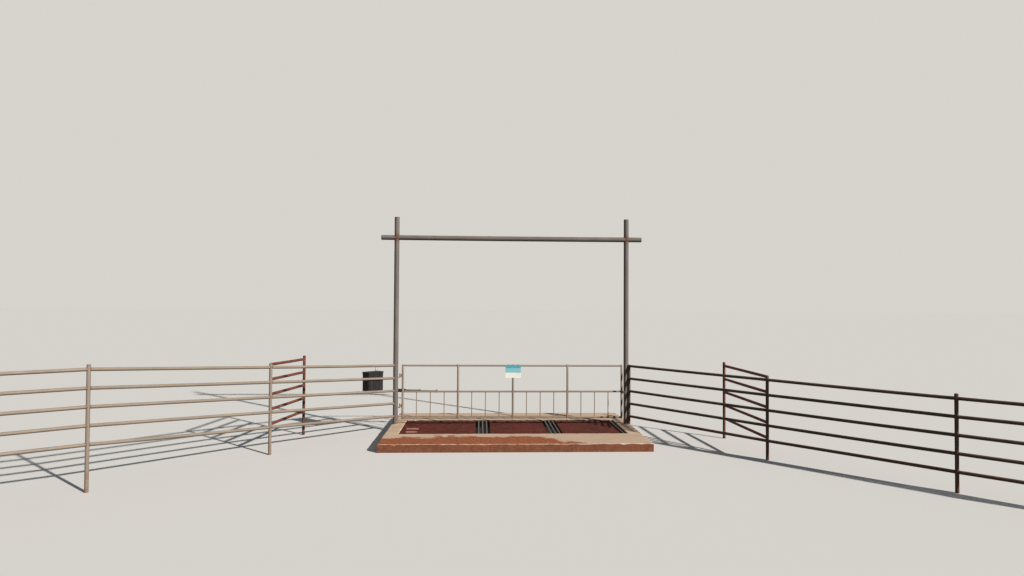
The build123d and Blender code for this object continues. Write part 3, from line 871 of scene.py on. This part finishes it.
def make_portal():
    lintel_z = middle(*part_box("lintel_middle_pipe"))[2]
    stub_low, stub_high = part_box("lintel_end_stubs")
    cap_low, cap_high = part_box("portal_end_caps")
    posts = []
    for side in ("left", "right"):
        low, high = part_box(f"{side}_portal_post")
        x = (low.x + high.x) / 2
        posts.append(x)
        surface = Surface()
        steps = [low.z, *plain_post_heights]
        steps += [lintel_z - gap for gap in rings_beside_lintel] + [lintel_z]
        steps += [lintel_z + gap for gap in rings_beside_lintel[:0:-1]]
        steps += [high.z - gap for gap in rings_below_top] + [high.z]
        profile = [(low.z, 0.0)] + [(z, portal_radius) for z in steps] + [(high.z, 0.0)]
        rust = [0.0]
        for z in steps:
            from_lintel = max(0.0, abs(z - lintel_z) - portal_radius)
            from_top = high.z - z
            rust.append(np.exp(-from_lintel / lintel_rust_reach) + 0.7 * np.exp(-from_top / top_rust_reach))
        rust.append(0.5)
        lathe(surface, (x, 0, 0), upwards, profile, portal_sides, np.repeat(rust, portal_sides))
        surface.make(f"{side}_post_pipe", "root", "pipe_paint", portal_paint, f"{side}_portal_post")

    hosts = [standing(x, 0, portal_radius) for x in posts]
    lintel = Surface()
    pipe(lintel, (posts[0], 0, lintel_z), (posts[1], 0, lintel_z), portal_radius, *hosts, portal_sides,
         lintel_sag, portal_bead)
    lintel.make("lintel_pipe", "root", "pipe_paint", portal_paint, "lintel_middle_pipe")

    stubs = Surface()
    caps = Surface()
    for host, side, stub_tip, cap_tip, name in ((hosts[0], -1, stub_low.x, cap_low.x, "left_portal_post"),
                                                (hosts[1], 1, stub_high.x, cap_high.x, "right_portal_post")):
        x = host[0][0]
        pipe(stubs, (x, 0, lintel_z), (stub_tip, 0, lintel_z), portal_radius, host, None, portal_sides,
             bead=portal_bead)
        reach = abs(cap_tip - stub_tip)
        profile = [(0, 0), *domed_end(reach, portal_radius, reach, 9)]
        lathe(caps, (stub_tip, 0, lintel_z), (side, 0, 0), profile, portal_sides, 0.35)
        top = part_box(name)[1].z
        profile = turned_ends(cap_high.z - top, portal_radius - cap_inset, cap_bevel)
        lathe(caps, (x, 0, top), upwards, profile, portal_sides, 0.5)
        weld(caps, level_arc(x, 0, top + 0.001, portal_radius - cap_seam, full_turn(72)), top_seam_bead)
    stubs.make("lintel_stub_pipes", "root", "pipe_paint", portal_paint, "lintel_end_stubs")
    caps.make("pipe_end_caps", "root", "pipe_paint", portal_paint, "portal_end_caps")
    return posts


# Fences

rail_sags = (-0.002, 0.005)
return_rail_sags = (-0.002, 0.004)
insulator_ribs = ((0, 0), (0, 0.55), (0.1, 0.62), (0.22, 0.62), (0.25, 1.0), (0.36, 1.0), (0.40, 0.6),
                  (0.5, 0.6), (0.54, 1.0), (0.64, 1.0), (0.68, 0.55), (0.78, 0.55), (0.82, 0.85), (0.94, 0.8),
                  (1.0, 0.6), (1.0, 0))


def post_places(node):
    """(x, y, top) of each post of a node, from the middle of the gateway outwards."""
    places = [(*middle(low, high)[:2], high[2]) for low, high in solid_boxes(node)]
    return sorted(places, key=lambda place: abs(place[0]))


def make_posts(name, node, places, slot, material):
    """Closed posts with a domed cap in a welded groove."""
    surface = Surface()
    seam_radius = post_radius - cap_seam
    for x, y, top in places:
        seam_z = top - cap_dome - 2 * cap_seam
        groove = [(seam_z - cap_seam, post_radius), (seam_z, seam_radius), (seam_z + cap_seam, post_radius)]
        profile = [(0, 0), (0, post_radius), *groove, *domed_end(top, post_radius, cap_dome, 7)]
        lathe(surface, (x, y, 0), upwards, profile)
        weld(surface, level_arc(x, y, seam_z, seam_radius, full_turn(40)), 0.8 * cap_seam)
    surface.make(name, "root", slot, material, node)


def make_rails(name, node, start, end, start_radius, slot, material, sags):
    """The rails of one bay, from (x, y, top rail height) to (x, y, top rail height)."""
    surface = Surface()
    for index in range(rail_count):
        drop = index * rail_pitch
        first = (start[0], start[1], start[2] - drop)
        last = (end[0], end[1], end[2] - drop)
        pipe(surface, first, last, rail_radius, (first, upwards, start_radius), (last, upwards, post_radius),
             sag=sags[index], bead=rail_bead)
    surface.make(name, "root", slot, material, node)


def make_fences(portal_posts):
    """Both fences from the gateway outwards, with their return panels."""
    right_places = post_places("right_fence_posts")
    left_places = post_places("left_fence_posts")
    return_places = sorted(post_places("return_end_posts"))
    gate_level = right_places[0][2] - rail_below_end_post_top
    dice = np.random.default_rng(5)
    for side, start, radius, posts, far, paint in (
            ("left", (portal_posts[0], 0.0), portal_radius, left_places, return_places[0], fence_paint),
            ("right", right_places[0][:2], post_radius, right_places[1:], return_places[1],
             dark_fence_paint)):
        here = (*start, gate_level)
        for number, (x, y, top) in enumerate(posts, 1):
            there = (x, y, top - rail_below_post_top)
            make_rails(f"{side}_rails_bay_{number}", f"{side}_fence_rails_{number}", here, there, radius,
                       "pipe_paint", paint, dice.uniform(*rail_sags, rail_count))
            here = there
            radius = post_radius
        x, y, top = posts[0]
        near = (x, y, top - rail_below_post_top + return_rail_lift)
        end = (*far[:2], far[2] - rail_below_post_top)
        make_rails(f"{side}_return_pipes", f"{side}_return_rails", near, end, post_radius, "rusty_rail", rusty,
                   dice.uniform(*return_rail_sags, rail_count))
    make_posts("left_posts", "left_fence_posts", left_places, "pipe_paint", fence_paint)
    make_posts("right_posts", "right_fence_posts", right_places, "pipe_paint", dark_fence_paint)
    make_posts("return_posts", "return_end_posts", return_places, "rusty_rail", dark_rust)
    return (*left_places[0][:2], 0.0)


def make_insulators():
    """Black ribbed knobs on the back post of the left return."""
    surface = Surface()
    for low, high in solid_boxes("return_post_insulators"):
        x, _, z = middle(low, high)
        length = high[1] - low[1]
        radius = (high[0] - low[0]) / 2
        profile = [(along * length, across * radius) for along, across in insulator_ribs]
        lathe(surface, (x, high[1], z), (0, -1, 0), profile, 24)
    surface.make("insulators", "root", "black_plastic", insulator_black, "return_post_insulators")


# Gate

upright_dome = 0.006
sign_corner = 0.018
sign_front = 0.0012
sign_back = 0.0006
sign_bolt_size = 0.0045
sign_bolt_below_top = 0.045
clamp_middle = 0.013


def make_gate():
    uprights = [((low[0] + high[0]) / 2, low[2], high[2]) for low, high in solid_boxes("gate_uprights")]
    levels = sorted({round((low[2] + high[2]) / 2, 4) for low, high in solid_boxes("gate_rails")})
    surface = Surface()
    for x, low, high in uprights:
        steps = [low + 0.003, low + 0.2, *np.linspace(low + 0.3, high - 0.3, 4), high - 0.2]
        profile = [(low, 0), (low, upright_radius - 0.001)] + [(z, upright_radius) for z in steps]
        profile += domed_end(high, upright_radius, upright_dome, 6)
        lathe(surface, (x, 0, 0), upwards, profile)
    surface.make("upright_pipes", "gate", "gate_paint", gate_paint, "gate_uprights")

    rails = Surface()
    for left, right in zip(uprights, uprights[1:]):
        hosts = [standing(x, 0, upright_radius) for x in (left[0], right[0])]
        for z in levels:
            pipe(rails, (left[0], 0, z), (right[0], 0, z), gate_rail_radius, *hosts, bead=0.9 * rail_bead)
    rails.make("rail_pipes", "gate", "gate_paint", gate_paint, "gate_rails")

    bars = Surface()
    hosts = [((0, 0, z), to_right, gate_rail_radius) for z in levels[:2]]
    for low, high in solid_boxes("gate_thin_bars"):
        x = (low[0] + high[0]) / 2
        pipe(bars, (x, 0, levels[0]), (x, 0, levels[1]), gate_bar_radius, *hosts, bar_sides, bead=bar_bead)
    bars.make("thin_bar_rods", "gate", "gate_paint", gate_paint, "gate_thin_bars")
    return uprights


def make_sign():
    """A thin sheet with round corners, held by two bolts on the clamps."""
    low, high = sign_low, sign_high
    corners = round_corners((low.x, low.z), (high.x, high.z), sign_corner)
    points = [(x + sign_corner * cosine, y, z + sign_corner * sine)
              for y in (low.y + sign_front, high.y - sign_back) for x, z, cosine, sine in corners]
    surface = Surface()
    surface.add(points, ring_faces(2, len(corners)) + end_faces(2, len(corners)))
    surface.make("sign_sheet", "gate", "sign_face", sign_face, "gate_sign")
    bolts = Surface()
    clamp_low, clamp_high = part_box("gate_sign_clamps")
    for x in (clamp_low.x + clamp_middle, clamp_high.x - clamp_middle):
        bolt(bolts, (x, low.y + sign_front, high.z - sign_bolt_below_top), (0, -1, 0), sign_bolt_size, 0.35)
    bolts.make("sign_bolts", "gate", "hardware", hardware)


# Hinges, latch and opener

barrel_radius = 0.0163
strap_half = 0.0065
bead_inset = 0.002
lug_height = 0.016
pin_nut_size = 0.0125
pin_nut_gap = 0.0008
plate_half = 0.004

motor_setback = 0.042
cover_length = 0.010
cover_proud = 0.0016
cover_round = 0.013
cover_bevel = 0.0008
cover_bore = 0.0195
cover_overhang = 0.001
screw_size = 0.0036
screw_inset = 0.0115
screw_profile = ((0, 0), (0, 1), (0.0012, 1), (0.0022, 0.6), (0.0012, 0.45), (0.0012, 0))
collar_length = 0.040
collar_wall = 0.005
foot_profile = ((0, 0), (0, 0.006), (0.005, 0.006), (0.009, 0.002), (0.012, 0.002), (0.013, 0))
ring_profile = ((-0.0016, 0), (-0.0008, 0.0014), (0.0008, 0.0014), (0.0016, 0))
ring_inset = 0.0006
seal_gap = 0.0005
seal_profile = ((0, 0.0008), (0, 0.009), (0.0036, 0.008), (0.006, 0.003), (0.006, 0.0008), (0, 0.0008))
saddle_half = 0.0295
plate_gap = 0.014
rail_weld_gap = 0.0004
pin_tip = turned_ends(0.005, 0.0078, 0.0012)

hinge_joint, arm_joint, slide_joint = (next(joint for joint in frame["joints"] if joint["name"] == name)
                                       for name in ("gate_hinge", "opener_arm_pivot", "opener_rod_slide"))


def beside(radius, offset):
    """How far a pipe's surface reaches to the side at an offset from its axis."""
    return (radius ** 2 - offset ** 2) ** 0.5


def upright_bead(surface, x, y, low, high):
    bead_line(surface, (x, y, low), (x, y, high))


def make_hinge_parts(uprights, portal_posts):
    """Welds of the hinges, and the nuts on their pins."""
    hinge_x = hinge_joint["pos_m"][0]
    post_x = portal_posts[0]
    lug_angle = np.arcsin(barrel_radius / portal_radius)
    on_gate = Surface()
    on_post = Surface()
    nuts = Surface()
    strap_ends = (uprights[0][0] - beside(upright_radius, strap_half),
                  hinge_x + beside(barrel_radius, strap_half))
    for low, high in solid_boxes("gate_hinge_barrels"):
        for y in (-strap_half, strap_half):
            for x in strap_ends:
                upright_bead(on_gate, x, y, low[2] + bead_inset, high[2] - bead_inset)
        nut(nuts, (hinge_x, 0, high[2] + pin_nut_gap), upwards, pin_nut_size)
    for low, high in solid_boxes("gate_hinge_pins"):
        lug_low = low[2]
        lug_high = lug_low + lug_height
        for z in (lug_low, lug_high):
            bead_on_post(on_post, post_x, z, -lug_angle, lug_angle)
        for y in (-barrel_radius, barrel_radius):
            upright_bead(on_post, post_x + beside(portal_radius, barrel_radius), y, lug_low, lug_high)
    on_gate.make("hinge_welds", "gate", "gate_paint", gate_paint)
    on_post.make("hinge_lug_welds", "root", "pipe_paint", portal_paint)
    nuts.make("hinge_nuts", "root", "hardware", hardware)


def make_latch_parts(uprights, portal_posts):
    """Welds of the latch tongue and of the stop plate."""
    low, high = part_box("gate_latch_tongue")
    on_gate = Surface()
    for y in (-plate_half, plate_half):
        upright_bead(on_gate, uprights[-1][0] + beside(upright_radius, plate_half), y, low.z, high.z)
    on_gate.make("latch_welds", "gate", "gate_paint", gate_paint)
    low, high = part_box("gate_stop_plate")
    on_post = Surface()
    for y in (low.y, high.y):
        upright_bead(on_post, portal_posts[1] - beside(portal_radius, y), y, low.z, high.z)
    on_post.make("stop_welds", "root", "pipe_paint", portal_paint)


def bored_plate(surface, matrix, low, high, radius, bevel, bore):
    """A plate across X with round corners in Y and Z, bevelled rims and a round hole."""
    corners = round_corners(low[1:], high[1:], radius)
    _, middle_y, middle_z = middle(low, high)
    hole = [(middle_y + bore * cos(angle), middle_z + bore * sin(angle)) for angle in full_turn(len(corners))]
    rings = [(low[0], hole)]
    for x, size in ((low[0], radius - bevel), (low[0] + bevel, radius),
                    (high[0] - bevel, radius), (high[0], radius - bevel)):
        rings.append((x, [(y + size * cosine, z + size * sine) for y, z, cosine, sine in corners]))
    rings.append((high[0], hole))
    points = [matrix @ Vector((x, *place)) for x, ring in rings for place in ring]
    surface.add(points, ring_faces(len(rings), len(corners), closed=True))


def make_pin_tips(name, body, x, y, low, high):
    tips = Surface()
    for z, up in ((low, -1), (high, 1)):
        lathe(tips, (x, y, z), (0, 0, up), pin_tip, 18)
    tips.make(name, body, "hardware", hardware)


def make_opener_parts(portal_posts):
    """End covers and screws of the motor, rings of the tube, and the brackets' welds and pin tips."""
    along = np.array(slide_joint["axis"])
    motor_low, motor_high, axes = local_box("opener_motor", along)
    tube_low, tube_high, _ = local_box("opener_tube", along)
    to_frame = turned(axes)
    _, centre_y, centre_z = middle(motor_low, motor_high)
    front = motor_high[0]
    rear = axes[0] @ np.array(arm_joint["pos_m"]) + motor_setback
    covers = Surface()
    screws = Surface()
    profile = [(out, share * screw_size) for out, share in screw_profile]
    for start, end, face, out in ((rear - cover_overhang, rear + cover_length, rear - cover_overhang, -1),
                                  (front - cover_length, front + cover_overhang, front + cover_overhang, 1)):
        bored_plate(covers, to_frame, (start, *(motor_low[1:] - cover_proud)),
                    (end, *(motor_high[1:] + cover_proud)), cover_round, cover_bevel, cover_bore)
        for y in (motor_low[1] + screw_inset, motor_high[1] - screw_inset):
            for z in (motor_low[2] + screw_inset, motor_high[2] - screw_inset):
                lathe(screws, to_frame @ Vector((face, y, z)), out * along, profile, 16)
    covers.make("motor_covers", "opener_arm", "opener_black", opener_black)
    screws.make("motor_screws", "opener_arm", "hardware", hardware)

    def ring_on_axis(surface, place, radius, profile):
        centre = to_frame @ Vector((place, centre_y, centre_z))
        lathe(surface, centre, along, [(out, radius + proud) for out, proud in profile])

    rings = Surface()
    collar_radius = (tube_high[2] - tube_low[2]) / 2
    mouth = tube_high[0]
    ring_on_axis(rings, front + cover_overhang, collar_radius - collar_wall, foot_profile)
    for place in (mouth - collar_length, mouth - 0.3 * collar_length):
        ring_on_axis(rings, place, collar_radius - ring_inset, ring_profile)
    rings.make("tube_rings", "opener_arm", "opener_black", opener_black)
    seal = Surface()
    ring_on_axis(seal, mouth - seal_gap, rod_radius, seal_profile)
    seal.make("rod_seal", "opener_arm", "black_plastic", black_plastic)

    post_x = portal_posts[0]
    low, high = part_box("opener_post_bracket")
    pivot = arm_joint["pos_m"]
    half = (high.x - low.x) / 2
    on_post = Surface()
    reach = np.arcsin((half - abs(pivot[0] - post_x)) / portal_radius)
    saddle_low = pivot[2] - saddle_half
    saddle_high = pivot[2] + saddle_half
    for z in (saddle_low, saddle_high):
        bead_on_post(on_post, post_x, z, pi / 2 - reach, pi / 2 + reach)
    for x in (pivot[0] - half, pivot[0] + half):
        upright_bead(on_post, x, beside(portal_radius, x - post_x), saddle_low, saddle_high)
    on_post.make("bracket_welds", "root", "opener_black", opener_black)
    make_pin_tips("post_pin_tips", "root", pivot[0], pivot[1], low.z, high.z)

    low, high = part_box("opener_gate_bracket")
    make_pin_tips("gate_pin_tips", "gate", (low.x + high.x) / 2, high.y - half, low.z, high.z)
    on_rail = Surface()
    for up in (-1, 1):
        for y, drop, share in ((beside(gate_rail_radius, plate_gap), plate_gap, 0.9),
                               (0, gate_rail_radius + rail_weld_gap, 0.8)):
            z = pivot[2] + up * drop
            bead_line(on_rail, (low.x + bead_inset, y, z), (high.x - bead_inset, y, z), share * hinge_bead)
    on_rail.make("gate_bracket_welds", "gate", "gate_paint", gate_paint)


# Control box

rim_height = 0.030
rim_proud = 0.003
rim_bevel = 0.0012
box_round = 0.010
box_screw_inset = 0.020
box_screw_profile = ((0, 0), (0, 0.0055), (0.0018, 0.0052), (0.0028, 0.003), (0.0016, 0.0024), (0.0016, 0))
mount_width = 0.040
mount_bolt_size = 0.0065
mount_bolt_shares = (0.36, 0.64)
mount_bead = 0.0022
mount_bead_half = 0.35
antenna_foot = ((0, 0), (0, 0.011), (0.004, 0.011), (0.005, 0.0085), (0.014, 0.0075), (0.018, 0.0042))
antenna_tip = ((0.010, 0.0032), (0.009, 0.0040), (0.002, 0.0040), (0, 0.002), (0, 0))


def ring_band(surface, matrix, low, high, radius, thickness, bevel):
    """A band with round corners about the vertical, open inside, between two heights."""
    corners = round_corners(low, high, radius)
    rows = ((low[2], radius - thickness), (low[2], radius - bevel), (low[2] + bevel, radius),
            (high[2] - bevel, radius), (high[2], radius - bevel), (high[2], radius - thickness))
    points = [matrix @ Vector((x + size * cosine, y + size * sine, z)) for z, size in rows
              for x, y, cosine, sine in corners]
    surface.add(points, ring_faces(len(rows), len(corners), closed=True))


def make_control_box():
    """Rims, screws and antenna of the control box, and the bolts and welds of its mounts."""
    along = unit(np.array(first_left_post) - np.array((portal_posts[0], 0.0, 0.0)))
    box_low, box_high, axes = local_box("control_box", along)
    lid_low, lid_high, _ = local_box("control_box_lid", along)
    to_frame = turned(axes)
    rims = Surface()
    for bottom, top in ((box_high[2] - rim_height, box_high[2]), (box_low[2], box_low[2] + 0.5 * rim_height)):
        back = box_high[1] if bottom > box_low[2] else box_high[1] - rim_proud
        ring_band(rims, to_frame, (box_low[0] - rim_proud, box_low[1] - rim_proud, bottom),
                  (box_high[0] + rim_proud, back + rim_proud, top), box_round + rim_proud, 2 * rim_proud,
                  rim_bevel)
    rims.make("box_rims", "root", "black_plastic", black_plastic)

    screws = Surface()
    for x in (lid_low[0] + box_screw_inset, lid_high[0] - box_screw_inset):
        for y in (lid_low[1] + box_screw_inset, lid_high[1] - box_screw_inset):
            lathe(screws, to_frame @ Vector((x, y, lid_high[2])), upwards, box_screw_profile, 18)
    mount_low, mount_high, _ = local_box("control_box_mount", along)
    front_y = mount_high[1]
    welds = Surface()
    half_bead = mount_bead_half * rail_radius
    for x_low in (mount_low[0], mount_high[0] - mount_width):
        for share in mount_bolt_shares:
            z = mount_low[2] + share * (mount_high[2] - mount_low[2])
            bolt(screws, to_frame @ Vector((x_low + mount_width / 2, front_y, z)), axes[1], mount_bolt_size)
        for x in (x_low, x_low + mount_width):
            for z in (mount_low[2] + rail_radius, mount_high[2] - rail_radius):
                start, end = (to_frame @ Vector((x, front_y, z + way * half_bead)) for way in (-1, 1))
                bead_line(welds, start, end, mount_bead)
    screws.make("box_screws", "root", "hardware", hardware)
    welds.make("box_mount_welds", "root", "hardware", hardware)

    low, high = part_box("control_box_antenna")
    x, y, _ = middle(low, high)
    height = high.z - low.z
    profile = [*antenna_foot, (0.5 * height, 0.0038)]
    profile += [(height - below, radius) for below, radius in antenna_tip]
    whip = Surface()
    lathe(whip, (x, y, low.z), upwards, profile, 20)
    whip.make("box_antenna", "root", "black_plastic", black_plastic, "control_box_antenna")


# Mortar round the posts that stand in the concrete

mortar_width = 0.020
mortar_height = 0.007
mortar_sides = 48
mortar_rows = ((-0.001, 1.0), (0.3, 0.75), (0.7, 0.25), (1.0, -0.05), (0.9, -0.4))


def make_mortar(portal_posts):
    """A rough fillet of mortar where each post enters the slab."""
    end_x, end_y, _ = middle(*solid_boxes("right_fence_posts")[0])
    surface = Surface()
    for x, y, radius in ((portal_posts[0], 0, portal_radius), (portal_posts[1], 0, portal_radius),
                         (end_x, end_y, post_radius)):
        points = []
        for row, (out, up) in enumerate(mortar_rows):
            for angle in full_turn(mortar_sides):
                rough = noise.fractal(Vector((x + 3 * cos(angle), y + 3 * sin(angle), row)), 0.8, 2.0, 3)
                reach = radius + out * mortar_width * (1 + 0.35 * rough * (row > 0))
                z = front_high.z - 0.001 + up * mortar_height * (1 + 0.3 * rough)
                points.append((x + reach * cos(angle), y + reach * sin(angle), z))
        surface.add(points, ring_faces(len(mortar_rows), mortar_sides))
    surface.make("post_mortar", "root", "concrete", curb_concrete)


# Stage: camera, floor, light

camera_place = (-0.732, -15.791, 2.923)
camera_yaw = radians(2.637)
camera_pitch = radians(1.379)
camera_roll = radians(0.324)
focal_pixels = 683.0
image_width_pixels = 1024.0
sensor_width_mm = 36.0
camera_reach = 500
floor_reach = 300.0
floor_level = -0.0015
floor_seen = (0.82, 0.82, 0.82)
floor_lighting = (0.093, 0.074, 0.058)
sky_seen = (0.675, 0.655, 0.613)
sky_light = (0.86, 0.93, 1.0)
sky_strength = 0.15
key_colour = (1.0, 0.94, 0.85)
key_strength = 5.0
key_softness = radians(1.2)
key_azimuth = radians(46)
key_elevation = radians(25.5)


def make_camera():
    """The photograph's camera, from its place, turn and focal length."""
    level = cos(camera_pitch)
    forward = Vector((sin(camera_yaw) * level, cos(camera_yaw) * level, sin(camera_pitch)))
    level_right = Vector((cos(camera_yaw), -sin(camera_yaw), 0.0))
    level_up = level_right.cross(forward)
    right = level_right * cos(camera_roll) + level_up * sin(camera_roll)
    up = level_up * cos(camera_roll) - level_right * sin(camera_roll)
    data = bpy.data.cameras.new("photo_camera")
    data.sensor_width = sensor_width_mm
    data.lens = focal_pixels / image_width_pixels * sensor_width_mm
    data.clip_end = camera_reach
    camera = bpy.data.objects.new("photo_camera", data)
    bpy.context.scene.collection.objects.link(camera)
    turn = Matrix((right, up, -forward)).transposed().to_4x4()
    camera.matrix_world = Matrix.Translation(camera_place) @ turn
    bpy.context.scene.camera = camera


def make_floor():
    """A floor that shows pale and throws only a little warm light back."""
    mesh = bpy.data.meshes.new("floor")
    corners = [(x * floor_reach, y * floor_reach, floor_level)
               for x, y in ((-1, -1), (1, -1), (1, 1), (-1, 1))]
    mesh.from_pydata(corners, [], [(0, 1, 2, 3)])
    floor = bpy.data.objects.new("floor", mesh)
    bpy.context.scene.collection.objects.link(floor)
    f = Finish("floor", 1.0, specular=0.0)
    f.colour(f.mix(f.seen(), floor_lighting, floor_seen))
    mesh.materials.append(f.material)


def make_light():
    """A pale sky that gives little light, and one low key light."""
    scene = bpy.context.scene
    scene.view_settings.view_transform = "Standard"
    scene.world = bpy.data.worlds.new("studio")
    scene.world.use_nodes = True
    sky = Nodes(scene.world.node_tree)
    sky.tree.nodes.clear()
    light = sky.node("ShaderNodeBackground", {"Color": sky_light, "Strength": sky_strength})
    shown = sky.node("ShaderNodeBackground", {"Color": sky_seen})
    pick = sky.node("ShaderNodeMixShader", {0: sky.seen(), 1: light.outputs[0], 2: shown.outputs[0]})
    sky.node("ShaderNodeOutputWorld", {"Surface": pick.outputs[0]})

    lamp = bpy.data.lights.new("key", "SUN")
    lamp.energy = key_strength
    lamp.angle = key_softness
    lamp.color = key_colour
    key = bpy.data.objects.new("key", lamp)
    key.rotation_mode = "QUATERNION"
    level = cos(key_elevation)
    key_from = Vector((sin(key_azimuth) * level, -cos(key_azimuth) * level, sin(key_elevation)))
    key.rotation_quaternion = key_from.to_track_quat("Z", "Y")
    scene.collection.objects.link(key)


def paint_cad_nodes():
    """Finishes for the CAD nodes that stay as they are."""
    for material, nodes in (
            (pit_dirt_and_shade, ["pit_floor"]),
            (grid_red, ["grid_beams"]),
            (bearer_steel, ["grid_strip_bearers"]),
            (gate_paint, ["gate_hinge_barrels"]),
            (portal_paint, ["gate_hinge_pins"]),
            (hardware, ["gate_latch_tongue", "gate_stop_plate", "gate_sign_clamps"]),
            (opener_black, ["opener_post_bracket", "opener_motor", "opener_tube", "opener_gate_bracket",
                            "control_box_mount"]),
            (rod_steel, ["opener_rod"]),
            (black_plastic, ["control_box", "control_box_lid", "control_box_antenna"])):
        for node in nodes:
            data = cad_nodes[node].data
            data.materials.clear()
            data.materials.append(material)


make_camera()
make_floor()
make_light()
paint_cad_nodes()
make_concrete()
make_grid()
portal_posts = make_portal()
make_mortar(portal_posts)
first_left_post = make_fences(portal_posts)
make_insulators()
uprights = make_gate()
make_hinge_parts(uprights, portal_posts)
make_latch_parts(uprights, portal_posts)
make_opener_parts(portal_posts)
make_sign()
make_control_box()
